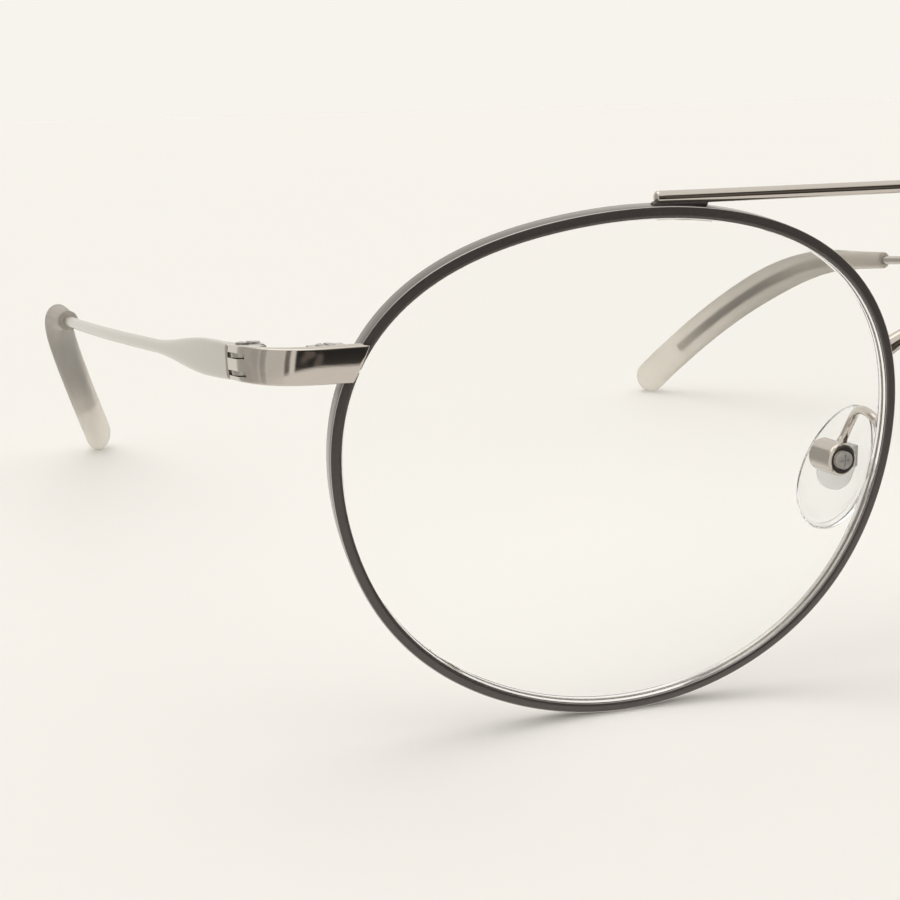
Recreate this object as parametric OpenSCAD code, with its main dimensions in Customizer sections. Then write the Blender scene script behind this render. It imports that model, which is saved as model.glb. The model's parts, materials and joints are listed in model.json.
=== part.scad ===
// Round metal eyeglass frame with a brow bar, adjustable nose pads and folding temples.
// X runs to the wearer's left, Y runs back towards the temple tips, Z is up.
// The frame stands open on its two rims and its two temple tips.

/* [Lens outline] */
// Half of the rim's outer width, before the outline's shape terms
outline_half_w = 26.45; // [22:0.05:30]
// Half of the rim's outer height, before the outline's shape terms
outline_half_h = 23.7; // [18:0.05:26]
// Fullness of the outline's upper corners against its lower ones
outline_tri = 0.56; // [0:0.02:1.2]
// Squareness of the outline
outline_square = 0.34; // [0:0.02:0.4]
// How far the outline swings towards its temple side at the top
outline_swing = 0.37; // [0:0.01:0.6]
// Fullness of the outline's temple corners against its nose side
outline_side = 0.22; // [0:0.01:0.5]
// Twist of the outline's four corners
outline_twist = 0.07; // [-0.3:0.01:0.3]
// Five-sided term of the outline
outline_five = 0.07; // [-0.3:0.01:0.3]
// Six-sided term of the outline
outline_six = 0.1; // [-0.3:0.01:0.3]
// Distance between the two lens centres
lens_spacing = 71; // [62:0.1:76]
// Radius of the sphere that the lenses and rims follow
base_curve_r = 110; // [80:1:200]
// Angle that each lens turns back at its temple side
wrap_angle = 6.5; // [0:0.5:9]
// Angle that the front leans forward at the top
lean_angle = 10; // [4:0.5:12]

/* [Rim wire] */
// Width of the rim wire seen from the front
rim_w = 1; // [0.7:0.05:1.6]
// Chamfer along the rim's front corner on the lens side
rim_lip = 0.22; // [0.1:0.01:0.35]
// Depth of the rim wire from front to back
rim_d = 1.8; // [1.6:0.05:2.6]
// How far the rim wire turns with the lens surface; 1 stands square on it
rim_toe = 0.3; // [0:0.05:1]
// Chamfer on the rim wire's corners
rim_chamfer = 0.1; // [0.05:0.01:0.15]
// Depth of the lens groove
groove_depth = 0.35; // [0.2:0.05:0.4]
// Width of the lens groove at its mouth
groove_mouth = 0.7; // [0.5:0.05:1]
// Gap in the rim where the two lock blocks meet
seam_gap = 0.3; // [0.1:0.05:0.6]
// Place of that gap round the rim, from the nose side upwards
seam_angle = 156.6; // [150:0.2:164]

/* [Lens] */
// Thickness of the lens
lens_t = 1.5; // [1:0.1:2.2]
// Thickness of the bevel that sits in the groove
bevel_t = 0.4; // [0.2:0.05:0.45]
// Play between lens and rim
lens_play = 0.05; // [0.03:0.01:0.1]

/* [Brow bar and bridge] */
// Diameter of the brow bar
bar_d = 1.12; // [0.9:0.02:1.8]
// Distance from the middle to the brow bar's end
bar_half_len = 35.4; // [28:0.2:38]
// How far the brow bar bows forward in the middle
bar_bow = 2; // [0.3:0.1:3]
// Length of the solder bed under each end of the brow bar
solder_len = 4.6; // [3:0.2:6]
// Diameter of the lower bridge's wire
bridge_d = 1.6; // [1.2:0.1:2.2]
// Height of the lower bridge's ends above the lens centre
bridge_rise = 8.2; // [5:0.2:11]
// How far the lower bridge arches up in the middle
bridge_arch = 2.6; // [1:0.1:4]

/* [End piece] */
// Distance from the middle to the outer face at the temple joint
front_half_w = 68.1; // [66:0.1:72]
// Distance from the lens plane back to the temple joint
joint_y = 8.8; // [8:0.1:11]
// Thickness of the end piece's strip
strip_t = 0.9; // [0.7:0.05:1.3]
// Height of the strip where it crosses the rim
strip_h = 3.1; // [2.6:0.05:4]
// Outer radius of the strip's bend
bend_r = 6.3; // [5:0.1:7]
// Depth that the strip is let into the rim's front
strip_seat = 0.2; // [0.05:0.05:0.4]
// Height of the strip's middle above the lens centre
strip_rise = 10.8; // [8:0.05:12]
// Chamfer on the strip's long edges
strip_chamfer = 0.12; // [0.05:0.01:0.2]

/* [Rim lock] */
// Width of a lock block, outwards from the rim
lock_w = 3; // [2.2:0.1:4]
// Depth of a lock block
lock_d = 2.1; // [1.8:0.1:3]
// Radius of the lock screw's shank
lock_screw_r = 0.5; // [0.4:0.05:0.6]
// Radius of the lock screw's head
lock_head_r = 0.8; // [0.7:0.05:1]

/* [Hinge] */
// Height of the barrel, all five knuckles
barrel_h = 2.95; // [2.4:0.1:3.4]
// Radius of the knuckles
knuckle_r = 1.15; // [1:0.05:1.3]
// Height of each of the temple's two knuckles
tongue_h = 0.36; // [0.3:0.02:0.6]
// Height of the slot that each of them runs in
slot_h = 0.46; // [0.42:0.02:0.7]
// Height of the front's top knuckle
top_knuckle_h = 0.63; // [0.4:0.02:0.7]
// Height of the front's bottom knuckle
bottom_knuckle_h = 0.4; // [0.25:0.02:0.6]
// Radius of the hinge screw's shank
pin_r = 0.6; // [0.5:0.05:0.7]
// Running clearance of the hinge screw in the knuckles
pin_play = 0.05; // [0.02:0.01:0.09]
// Distance from the outer face in to the hinge axis
axis_inset = 1.5; // [1.4:0.05:1.7]
// Distance from the joint forward to the hinge axis
axis_ahead = 1.1; // [1:0.05:1.6]
// Length of the slots in the end piece
slot_len = 4; // [2.8:0.1:4.4]
// Radius of the hinge screw's head
pin_head_r = 1; // [0.8:0.05:1.1]
// Height of the hinge and lock screws' low heads
low_head_h = 0.14; // [0.1:0.02:0.3]
// Radius that the temple's tongues fill in the slots
tongue_reach = 1.42; // [1.2:0.02:1.45]
// Length of the hinge leaf that is brazed behind the end piece
front_leaf_len = 2.3; // [1.5:0.1:3]
// Gap between the end piece and the temple when open
joint_gap = 0.06; // [0.04:0.01:0.15]

/* [Temple] */
// Thickness of the flat paddle behind the joint
paddle_t = 0.95; // [0.8:0.05:1.2]
// Height of the paddle at its widest
paddle_h = 3.2; // [2.8:0.1:4]
// Length of the paddle, from the joint to the round wire
paddle_len = 24; // [18:1:32]
// Diameter of the round temple wire
wire_d = 1.3; // [1:0.05:1.8]
// Length of the temple from the joint to the ear bend
temple_len = 92; // [84:1:100]
// Angle that the temple falls towards its tip
fall_angle = 4.66; // [3.5:0.1:5.5]
// How far the temple has curved inwards at the ear bend
temple_bow = 4.9; // [2:0.1:8]
// Angle that the temple flares outwards at the joint
flare_angle = 0.54; // [0:0.02:1.5]

/* [Temple tip] */
// Distance from the ear bend back to the tip's end
tip_back = 40; // [32:1:46]
// Distance from the ear bend inwards to the tip's end
tip_in = 12.4; // [6:0.2:16]
// Length of the round knee at the ear bend
knee_len = 19; // [12:0.5:22]
// Length of the tip's sleeve ahead of the bend
sleeve_lead = 9; // [4:0.5:20]
// Width of the tip near its end
tip_w = 5.6; // [4:0.1:6.5]
// Thickness of the tip near its end
tip_t = 3.8; // [2.4:0.1:4.2]
// Diameter of the sleeve's mouth
sleeve_d = 2.6; // [2:0.1:3]

/* [Nose pads] */
// Distance from the middle to the pad's pivot
pivot_x = 10.3; // [9.6:0.1:11]
// Distance from the lens plane back to the pad's pivot
pivot_y = 4.9; // [4.4:0.1:6]
// Height of the pad's pivot below the lens centre
pivot_drop = 2.9; // [1:0.1:5]
// Height of a nose pad
pad_h = 12.6; // [11:0.1:15]
// Width of a nose pad
pad_w = 6.7; // [6:0.1:9]
// Thickness of a nose pad
pad_t = 2.1; // [1.6:0.1:2.8]
// Distance from the pivot down to the pad's middle
pad_drop = 0.7; // [0:0.1:2]
// Angle that a pad faces backwards
pad_turn = 35; // [20:1:45]
// Angle that a pad's lower end stands out from the nose
pad_splay = 18; // [8:1:28]
// Angle that a pad's top leans forward
pad_roll = 14; // [0:1:20]
// Distance from the pivot to the pad's middle plane
pad_reach = 2.8; // [2.7:0.1:3.6]
// Diameter of the pad arm's wire
arm_d = 0.85; // [0.7:0.05:1]
// Height of the arm's root above the lens centre
arm_up = 1; // [-1:0.1:4]
// How far the arm's wire rises behind the rim
arm_rise = 1.7; // [1:0.1:5]
// How far the arm's wire bows towards the nose
arm_loop = 1.8; // [1:0.1:5]
// Distance that the arm's foot stands off the pivot, to the nose
arm_side = 1; // [0:0.1:1.2]
// Depth of the pad box
box_d = 3.4; // [3:0.1:4]
// Diameter of the pad box
box_dia = 3.2; // [3:0.1:4]
// Radius of the pad screw's shank
pad_pin_r = 0.45; // [0.35:0.05:0.5]
// Radius of the pad screw's head
pad_head_r = 0.85; // [0.7:0.05:1]
// Height of the pad screw's head
pad_head_h = 0.3; // [0.2:0.05:0.5]

/* [Hidden] */
fine = 48;

lacquer = [0.33, 0.30, 0.29];
polished = [0.80, 0.79, 0.77];
satin = [0.70, 0.69, 0.67];
clear = [0.85, 0.90, 0.92, 0.4];
smoke = [0.62, 0.61, 0.58, 0.8];

// The outline of the wearer's right rim in the lens plane: u to the nose, v up, angle a in degrees
function outline_r(a) =
    1 / sqrt(pow(cos(a) / outline_half_w, 2) + pow(sin(a) / outline_half_h, 2))
    - outline_swing * sin(2 * a)
    - outline_side * cos(3 * a)
    + outline_tri * sin(3 * a)
    - outline_square * cos(4 * a)
    - outline_twist * sin(4 * a)
    + outline_five * sin(5 * a)
    - outline_six * cos(6 * a);
function outline_at(a) = outline_r(a) * [cos(a), sin(a)];
function outline_step(a) = outline_at(a + 0.5) - outline_at(a - 0.5);
function outline_out(a) = [outline_step(a)[1], -outline_step(a)[0]] / norm(outline_step(a));
function outline_grown(a, g) = outline_at(a) + g * outline_out(a);

// The lens surface: how far back it lies at a distance r from the lens centre
sag_ref = outline_half_w - 2;
function sag(r) = sqrt(pow(base_curve_r, 2) - pow(sag_ref, 2)) - sqrt(pow(base_curve_r, 2) - r * r);
function toed(p, y) = (1 - y * rim_toe / base_curve_r) * p;
function on_lens(p, y) = [toed(p, y)[0], sag(norm(p)) + y, toed(p, y)[1]];

// Turning a point from the lens frame to the frame of the whole front
function leaned(p) = [p[0], p[1] * cos(lean_angle) - p[2] * sin(lean_angle),
                      p[1] * sin(lean_angle) + p[2] * cos(lean_angle)];
function wrapped(p) = [p[0] * cos(wrap_angle) + p[1] * sin(wrap_angle),
                       p[1] * cos(wrap_angle) - p[0] * sin(wrap_angle), p[2]];
function lens_turned(p) = wrapped(leaned(p));

rim_steps = 72;
rim_sweep = [for (i = [0 : rim_steps]) i * 360 / rim_steps];
rim_low = min([for (a = rim_sweep, y = [-rim_d / 2, rim_d / 2]) lens_turned(on_lens(outline_at(a), y))[2]]);
rim_top = max([for (a = rim_sweep, y = [-rim_d / 2, rim_d / 2]) lens_turned(on_lens(outline_at(a), y))[2]]);
lens_z = -rim_low;
rim_high = lens_z + rim_top;
lens_x = lens_spacing / 2;
function placed(p) = lens_turned(p) + [-lens_x, 0, lens_z];

// Landmarks of the end piece, hinge and temple
fall = tan(fall_angle);
seam_front = placed(on_lens(outline_grown(seam_angle, 0), -rim_d / 2));
seam_inner = placed(on_lens(outline_grown(seam_angle, -rim_w), -rim_d / 2));
face_y = seam_front[1] - (strip_t - strip_seat) / cos(wrap_angle);
bend_cx = -front_half_w + bend_r;
bend_sx = bend_cx - bend_r * sin(wrap_angle);
bend_sy = face_y + (seam_front[0] - bend_sx) * tan(wrap_angle);
bend_cy = bend_sy + bend_r * cos(wrap_angle);
bend_turn = 90 - wrap_angle;
bend_len = bend_r * bend_turn * PI / 180;
front_len = (seam_inner[0] - bend_sx) / cos(wrap_angle);
side_len = joint_y - bend_cy;
strip_len = front_len + bend_len + side_len;
ease_len = 3;
strip_drop = fall * (side_len + ease_len / 2);
hinge_z = lens_z + strip_rise - strip_drop;
axis_x = -front_half_w + axis_inset;
axis_y = joint_y - axis_ahead;
barrel_top = barrel_h / 2;
barrel_low = -barrel_h / 2;
upper_slot_z = barrel_top - top_knuckle_h - slot_h / 2;
lower_slot_z = barrel_low + bottom_knuckle_h + slot_h / 2;

// The temple's centre line and its ear bend
temple_x0 = -front_half_w + paddle_t / 2;
function temple_x(s) = temple_x0 - tan(flare_angle) * s + temple_bow * pow(s / temple_len, 2);
function temple_at(s) = [temple_x(s), joint_y + s, hinge_z - fall * s];
bend_start = temple_at(temple_len);
bend_dir = (temple_at(temple_len) - temple_at(temple_len - 1)) / norm(temple_at(temple_len) - temple_at(temple_len - 1));
knee = bend_start + bend_dir * knee_len;
tip_end = [bend_start[0] + tip_in, bend_start[1] + tip_back, tip_w / 2];
function ear_at(t) = (1 - t) * (1 - t) * bend_start + 2 * t * (1 - t) * knee + t * t * tip_end;
ear_len = norm(knee - bend_start) * 0.6 + norm(tip_end - knee);

// The whole frame moves forward so that the middle of its length lies over the origin
bar_seat = placed(on_lens(outline_at(90), 0));
bar_y = bar_seat[1] - bar_bow;
front_most = min(bar_y - bar_d / 2, bar_seat[1] - rim_d / 2);
back_most = tip_end[1] + tip_w / 2;
shift_y = -(front_most + back_most) / 2;

function smooth(x) = x <= 0 ? 0 : x >= 1 ? 1 : x * x * (3 - 2 * x);
function unit(v) = v / norm(v);
function soft(x, e) = sign(x) * pow(abs(x), e);

// Closed skin over a list of rings, each ring listed from its W side to its N side
module skin(rings) {
    n = len(rings[0]);
    m = len(rings);
    polyhedron(
        points = [for (r = rings) each r],
        faces = concat(
            [[for (j = [0 : n - 1]) j]],
            [for (i = [0 : m - 2], j = [0 : n - 1])
                [i * n + j, (i + 1) * n + j, (i + 1) * n + (j + 1) % n]],
            [for (i = [0 : m - 2], j = [0 : n - 1])
                [i * n + j, (i + 1) * n + (j + 1) % n, i * n + (j + 1) % n]],
            [[for (j = [n - 1 : -1 : 0]) (m - 1) * n + j]]));
}

// Ring of a wire or strip round p: T along it, half sizes a upwards and b sideways, e its roundness
function ring(p, t, a, b, e = 1, sides = 12) =
    let (w = unit([0, 0, 1] - t[2] * t), n = cross(t, w))
    [for (j = [0 : sides - 1])
        let (q = (j + 0.5) * 360 / sides) p + a * soft(cos(q), e) * w + b * soft(sin(q), e) * n];

module on_front() translate([0, shift_y, 0]) children();
module left_of() mirror([1, 0, 0]) children();
module lens_frame()
    translate([-lens_x, 0, lens_z]) rotate([0, 0, -wrap_angle]) rotate([lean_angle, 0, 0]) children();
// Frame of the hinge: its Z is the hinge axis, and it falls with the temple
module hinge_frame()
    translate([axis_x, axis_y, hinge_z + fall * axis_ahead]) rotate([-fall_angle, 0, 0]) children();
module pad_frame() translate([-pivot_x, pivot_y, lens_z - pivot_drop]) children();
module pad_turned() rotate([0, pad_splay, pad_turn]) rotate([pad_roll, 0, 0]) children();
// Cylinder along Y, centred
module y_rod(r, h) rotate([90, 0, 0]) cylinder(r = r, h = h, center = true, $fn = fine);

// Rim wire: a grooved section swept round the outline, open at the seam
module rim() {
    c = rim_chamfer;
    lip = rim_lip;
    f = rim_d / 2;
    g = rim_w;
    mouth = groove_mouth / 2;
    floor_w = bevel_t / 2 + lens_play;
    section = [[0, c - f], [0, f - c], [-c, f], [c - g, f], [-g, f - c], [-g, mouth],
               [groove_depth - g, floor_w], [groove_depth - g, -floor_w], [-g, -mouth],
               [-g, lip - f], [lip - g, -f], [-c, -f]];
    gap_turn = seam_gap / outline_r(seam_angle) * 180 / PI / 2;
    from = seam_angle + gap_turn;
    span = 360 - 2 * gap_turn;
    lens_frame() skin([for (i = [0 : rim_steps])
        let (a = from + span * i / rim_steps)
        [for (s = section) on_lens(outline_grown(a, s[0]), s[1])]]);
}

// Slice between two equal spheres, cut to the outline grown by g
module lens_slice(g, y0, t) {
    cy = sqrt(pow(base_curve_r, 2) - pow(sag_ref, 2)) + y0;
    intersection() {
        rotate([90, 0, 0]) linear_extrude(height = outline_half_w, center = true)
            polygon([for (i = [0 : rim_steps - 1]) outline_grown(i * 360 / rim_steps, g)]);
        difference() {
            translate([0, cy, 0]) sphere(r = base_curve_r, $fn = 240);
            translate([0, cy + t, 0]) sphere(r = base_curve_r, $fn = 240);
        }
    }
}
module lens() lens_frame() {
    lens_slice(-rim_w - lens_play, -lens_t / 2, lens_t);
    lens_slice(groove_depth - rim_w - lens_play, -bevel_t / 2, bevel_t);
}

// Brow bar: a round bar on one large arc across the tops of both rims, brazed to them
bar_r = (bar_half_len * bar_half_len + bar_bow * bar_bow) / (2 * bar_bow);
bar_sink = 0.12;
bar_z = rim_high + bar_d / 2 - bar_sink;
module bar_shape() {
    half_turn = asin(bar_half_len / bar_r);
    translate([0, bar_y + bar_r, bar_z]) rotate([0, 0, -90 - half_turn])
        rotate_extrude(angle = 2 * half_turn, $fn = 360) translate([bar_r, 0]) circle(d = bar_d, $fn = fine);
    for (side = [0, 1]) mirror([side, 0, 0])
        hull() {
            translate([-bar_half_len + 0.3, bar_seat[1] + 0.05, bar_z - bar_d / 2 + 0.1])
                cube([0.4, bar_d * 0.6, 0.3], center = true);
            translate([-bar_half_len + solder_len, bar_seat[1] - 0.25, bar_z - bar_d / 2 + 0.1])
                cube([0.4, bar_d * 0.5, 0.2], center = true);
            translate([-bar_half_len + solder_len * 0.56, bar_seat[1] - 0.1, rim_high - 0.2])
                cube([solder_len * 0.65, bar_d * 0.7, 0.2], center = true);
        }
}

// Lower bridge: an arched wire between the nose sides of the rims
function nose_side(v) = [for (a = [0 : 1 : 60]) if (outline_at(a)[1] >= v) a][0];
bridge_a = nose_side(bridge_rise);
bridge_foot = placed(on_lens(outline_grown(bridge_a, bridge_d * 0.25 - 0.1), 0.1));
bridge_half = -bridge_foot[0];
bridge_r = (bridge_half * bridge_half + bridge_arch * bridge_arch) / (2 * bridge_arch);
module bridge_shape() {
    half_turn = asin(bridge_half / bridge_r);
    translate([0, bridge_foot[1], bridge_foot[2] + bridge_arch]) rotate([lean_angle, 0, 0])
        translate([0, 0, -bridge_r]) rotate([90, 0, 0]) rotate([0, 0, 90 - half_turn])
            rotate_extrude(angle = 2 * half_turn, $fn = 180)
                translate([bridge_r, 0]) circle(d = bridge_d, $fn = fine);
}

// End piece: a flat strip that crosses the rim's front and bends back to the joint.
// s is the distance along it from the rim, e the distance left to the joint.
function strip_z(e) = let (x = min(max(e - side_len, 0), ease_len))
    hinge_z + fall * (min(e, side_len) + x - x * x / (2 * ease_len));
function strip_head(s) = wrap_angle + bend_turn * min(max((s - front_len) / bend_len, 0), 1);
function strip_xy(s) =
    s < front_len ? [bend_sx, bend_sy] + (front_len - s) * [cos(wrap_angle), -sin(wrap_angle)]
    : s < front_len + bend_len ? [bend_cx, bend_cy] - bend_r * [sin(strip_head(s)), cos(strip_head(s))]
    : [-front_half_w, bend_cy + s - front_len - bend_len];
function strip_at(s) = [strip_xy(s)[0], strip_xy(s)[1], strip_z(strip_len - s)];
function strip_section(s, sec, slant = 0) =
    let (p = strip_at(s),
         k = (strip_z(strip_len - s - 0.01) - strip_z(strip_len - s)) / 0.01,
         t = unit([-cos(strip_head(s)), sin(strip_head(s)), s < strip_len ? k : -fall]),
         up0 = unit([0, 0, 1] - t[2] * t),
         in0 = cross(t, up0),
         lean = lean_angle * (1 - smooth((s - front_len) / (bend_len * 0.8))),
         up = cos(lean) * up0 - sin(lean) * in0,
         inw = cross(t, up))
    [for (v = sec) p + v[0] * up + v[1] * inw - slant * v[0] * t];
function strip_ring(s, slant) =
    let (h = (strip_h + (barrel_h - strip_h) * s / strip_len) / 2, c = strip_chamfer)
    strip_section(s, [[h, c], [h, strip_t - c], [h - c, strip_t], [c - h, strip_t],
                      [-h, strip_t - c], [-h, c], [c - h, 0], [h - c, 0]], slant);
strip_slant = (placed(on_lens(outline_grown(seam_angle - 3, -rim_w), 0))[0]
             - placed(on_lens(outline_grown(seam_angle + 3, -rim_w), 0))[0])
            / (placed(on_lens(outline_grown(seam_angle - 3, -rim_w), 0))[2]
             - placed(on_lens(outline_grown(seam_angle + 3, -rim_w), 0))[2]);
bend_steps = 14;
module end_piece() difference() {
    skin(concat(
        [strip_ring(0, strip_slant), strip_ring(front_len * 0.6, 0)],
        [for (i = [0 : bend_steps]) strip_ring(front_len + bend_len * i / bend_steps, 0)],
        [strip_ring(strip_len - 0.001, 0)]));
    hinge_frame() for (z = [upper_slot_z, lower_slot_z])
        translate([-3, axis_ahead - slot_len, z - slot_h / 2]) cube([4, slot_len + 1, slot_h]);
    hinge_frame() cylinder(r = knuckle_r + 0.04, h = 3 * barrel_h, center = true, $fn = fine);
}

// Rim lock: two blocks brazed to the rim's ends behind the strip, drawn together by a screw
lock_inner = placed(on_lens(outline_grown(seam_angle, 0), 0));
lock_bite = 0.25;
lock_x = lock_inner[0] - lock_w / 2 + lock_bite;
lock_y = lock_inner[1] + lock_d / 2 - 0.55 + strip_t / 2;
lock_top = hinge_z + strip_drop + strip_h / 2 - 0.2;
lock_low = hinge_z + strip_drop - strip_h / 2 + 0.1;
lock_mid = placed(on_lens(outline_at(seam_angle), 0))[2];
// The rim runs outwards as it goes down, so the lower block is shorter on its inner side
function rim_angle_at(z) =
    [for (a = [seam_angle : 0.5 : 200]) if (placed(on_lens(outline_at(a), 0))[2] <= z) a][0];
lower_inner = placed(on_lens(outline_at(rim_angle_at(lock_low)), 0));
module lock_block(z0, z1, r, rim_x) difference() {
    translate([lock_x - lock_w / 2, lock_y - lock_d / 2, z0])
        cube([rim_x + lock_bite - lock_x + lock_w / 2, lock_d, z1 - z0]);
    translate([lock_x - 0.2, lock_y, z0 - 1]) cylinder(r = r, h = z1 - z0 + 2, $fn = fine);
}
module lock_screw() difference() {
    translate([lock_x - 0.2, lock_y, lock_low + 0.2]) union() {
        cylinder(r = lock_screw_r, h = lock_top - lock_low - 0.2, $fn = fine);
        translate([0, 0, lock_top - lock_low - 0.2]) cylinder(r = lock_head_r, h = low_head_h, $fn = fine);
    }
    translate([lock_x - 0.2, lock_y, lock_top + low_head_h])
        cube([0.25, 3 * lock_head_r, low_head_h], center = true);
}

// Hinge: the front's three knuckles, the temple's two and the screw through all five
module knuckle(z0, h) difference() {
    children();
    translate([0, 0, z0 - 1]) cylinder(r = pin_r + pin_play, h = h + 2, $fn = fine);
}
leaf_from = tongue_reach + 0.08;
leaf_sink = 0.1;
front_leaf_t = 0.8;
module front_knuckle(z0, z1) knuckle(z0, z1 - z0) union() {
    translate([0, 0, z0]) cylinder(r = knuckle_r, h = z1 - z0, $fn = fine);
    translate([-axis_inset + strip_t, -leaf_from - 0.5, z0])
        cube([axis_inset - strip_t + 0.8, leaf_from + 0.5, z1 - z0]);
}
module front_hinge() {
    h = barrel_h / 2;
    hinge_frame() {
        front_knuckle(barrel_top - top_knuckle_h, barrel_top);
        front_knuckle(lower_slot_z + slot_h / 2, upper_slot_z - slot_h / 2);
        front_knuckle(barrel_low, barrel_low + bottom_knuckle_h);
    }
    skin([for (i = [0 : 5])
        strip_section(strip_len - axis_ahead - leaf_from - front_leaf_len * (1 - i / 5),
                      [[h, strip_t - leaf_sink], [h, strip_t + front_leaf_t],
                       [-h, strip_t + front_leaf_t], [-h, strip_t - leaf_sink]])]);
}
temple_leaf_len = 5;
leaf_t = 0.7;
module temple_knuckle(z) knuckle(z, tongue_h) union() {
    translate([0, 0, z - tongue_h / 2]) cylinder(r = tongue_reach, h = tongue_h, $fn = fine);
    translate([-axis_inset + paddle_t - 0.3, 0, z - tongue_h / 2])
        cube([leaf_t + 0.3, axis_ahead + joint_gap + 0.6, tongue_h]);
}
module temple_hinge() hinge_frame() {
    temple_knuckle(upper_slot_z);
    temple_knuckle(lower_slot_z);
    translate([-axis_inset + paddle_t, axis_ahead + joint_gap + 0.1, barrel_low + 0.15])
        cube([leaf_t, temple_leaf_len, barrel_h - 0.3]);
}
module hinge_screw() hinge_frame() difference() {
    translate([0, 0, barrel_low]) union() {
        cylinder(r = pin_r, h = barrel_h, $fn = fine);
        translate([0, 0, barrel_h]) cylinder(r = pin_head_r, h = low_head_h, $fn = fine);
    }
    translate([0, 0, barrel_top + low_head_h]) cube([0.35, 3 * pin_head_r, low_head_h], center = true);
}

// Temple: a flat paddle that tapers to a round wire and runs on as the core of the tip
function paddle_shape(s) = 1 - smooth((s - paddle_len * 0.3) / (paddle_len * 0.75));
function temple_half_h(s) =
    wire_d / 2 + (paddle_h - wire_d) / 2 * paddle_shape(s)
    - (paddle_h - barrel_h) / 2 * pow(1 - min(s / (paddle_len * 0.3), 1), 2);
function temple_half_t(s) = paddle_t / 2 + (wire_d - paddle_t) / 2 * smooth(s / paddle_len);
function temple_dir(s) = unit(temple_at(s + 0.5) - temple_at(s - 0.5));
function ear_dir(t) = unit(ear_at(min(t + 0.01, 1)) - ear_at(max(t - 0.01, 0)));
core_stop = 0.86;
module temple() {
    skin(concat(
        [for (i = [0 : 15]) let (s = joint_gap + (paddle_len + 4 - joint_gap) * i / 15)
            ring(temple_at(s), temple_dir(s), temple_half_h(s), temple_half_t(s),
                 0.5 + 0.5 * smooth(s / paddle_len))],
        [for (i = [1 : 8]) let (s = paddle_len + 4 + (temple_len - paddle_len - 4) * i / 8)
            ring(temple_at(s), temple_dir(s), wire_d / 2, wire_d / 2)],
        [for (i = [1 : 10]) let (t = core_stop * i / 10)
            ring(ear_at(t), ear_dir(t), wire_d / 2, wire_d / 2)]));
}

// Tip: a moulded sleeve over the wire that flares flat towards a rounded end
function tip_half_w(x) = sleeve_d / 2 + (tip_w - sleeve_d) / 2 * smooth(x * 1.7);
function tip_half_t(x) = sleeve_d / 2 + (tip_t - sleeve_d) / 2 * smooth(x * 2);
module temple_tip() {
    lead_steps = 4;
    ear_steps = 16;
    cap_steps = 6;
    whole = sleeve_lead + ear_len;
    skin(concat(
        [for (i = [0 : lead_steps - 1]) let (d = sleeve_lead * i / lead_steps, s = temple_len - sleeve_lead + d)
            ring(temple_at(s), temple_dir(s), tip_half_w(d / whole), tip_half_t(d / whole), 1, 16)],
        [for (i = [0 : ear_steps]) let (t = i / ear_steps, x = (sleeve_lead + ear_len * t) / whole)
            ring(ear_at(t), ear_dir(t), tip_half_w(x), tip_half_t(x), 1, 16)],
        [for (i = [1 : cap_steps]) let (q = 86 * i / cap_steps)
            ring(tip_end + tip_w / 2 * sin(q) * ear_dir(1), ear_dir(1),
                 tip_w / 2 * cos(q), tip_t / 2 * cos(q), 1, 16)]));
}

// Pad arm: a wire from the rim's nose side that loops back and down into the pad box
arm_root_a = nose_side(arm_up);
arm_root = placed(on_lens(outline_grown(arm_root_a, -rim_w / 2), rim_d / 2 - 0.15));
arm_foot = [-pivot_x + arm_side, pivot_y, lens_z - pivot_drop + box_dia / 2 - 0.4];
arm_top = arm_root + [0.1, 3.9, arm_rise];
arm_over = [-pivot_x + arm_side + arm_loop, pivot_y, arm_top[2] - 1.7];
function arm_at(t) = pow(1 - t, 3) * arm_root + 3 * t * pow(1 - t, 2) * arm_top
    + 3 * t * t * (1 - t) * arm_over + pow(t, 3) * arm_foot;
function arm_dir(t) = unit(arm_at(min(t + 0.01, 1)) - arm_at(max(t - 0.01, 0)));
// Ring round the arm, with its W side kept along X so that it never turns over
function arm_ring(t) = let (d = arm_dir(t), w = unit([1, 0, 0] - d[0] * d), n = cross(d, w))
    [for (j = [0 : 9]) arm_at(t) + arm_d / 2 * (cos(j * 36) * w + sin(j * 36) * n)];
module pad_arm() skin([for (i = [0 : 16]) arm_ring(i / 16)]);

// Pad box: a small drum across the arm's end, slotted for the pad's tongue
tongue_w = 1.5;
tongue_r = 1;
box_round = 0.35;
pad_gap = 0.3;
module pad_box() pad_frame() difference() {
    rotate([90, 0, 0]) rotate_extrude($fn = fine) polygon(concat([[0, -box_d / 2]],
        [for (q = [0 : 15 : 90]) [box_dia / 2 - box_round + box_round * sin(q), -box_d / 2 + box_round - box_round * cos(q)]],
        [for (q = [0 : 15 : 90]) [box_dia / 2 - box_round + box_round * cos(q), box_d / 2 - box_round + box_round * sin(q)]],
        [[0, box_d / 2]]));
    y_rod(tongue_r + 0.2, tongue_w + 0.2);
    translate([0, -tongue_w / 2 - 0.1, -tongue_r - 0.25])
        cube([box_dia, tongue_w + 0.2, 2 * tongue_r + 0.5]);
    y_rod(pad_pin_r + pin_play, box_d + 2);
    pad_turned() translate([pad_reach - 0.36 * pad_t - pad_gap, -box_dia, -box_dia])
        cube(2 * box_dia);
}
module pad_screw() pad_frame() difference() {
    union() {
        y_rod(pad_pin_r, box_d);
        translate([0, -box_d / 2 - pad_head_h / 2, 0]) y_rod(pad_head_r, pad_head_h);
    }
    for (turn = [0, 90]) rotate([0, turn, 0])
        translate([0, -box_d / 2 - pad_head_h, 0]) cube([0.22, 0.3, 1.1], center = true);
}

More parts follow.
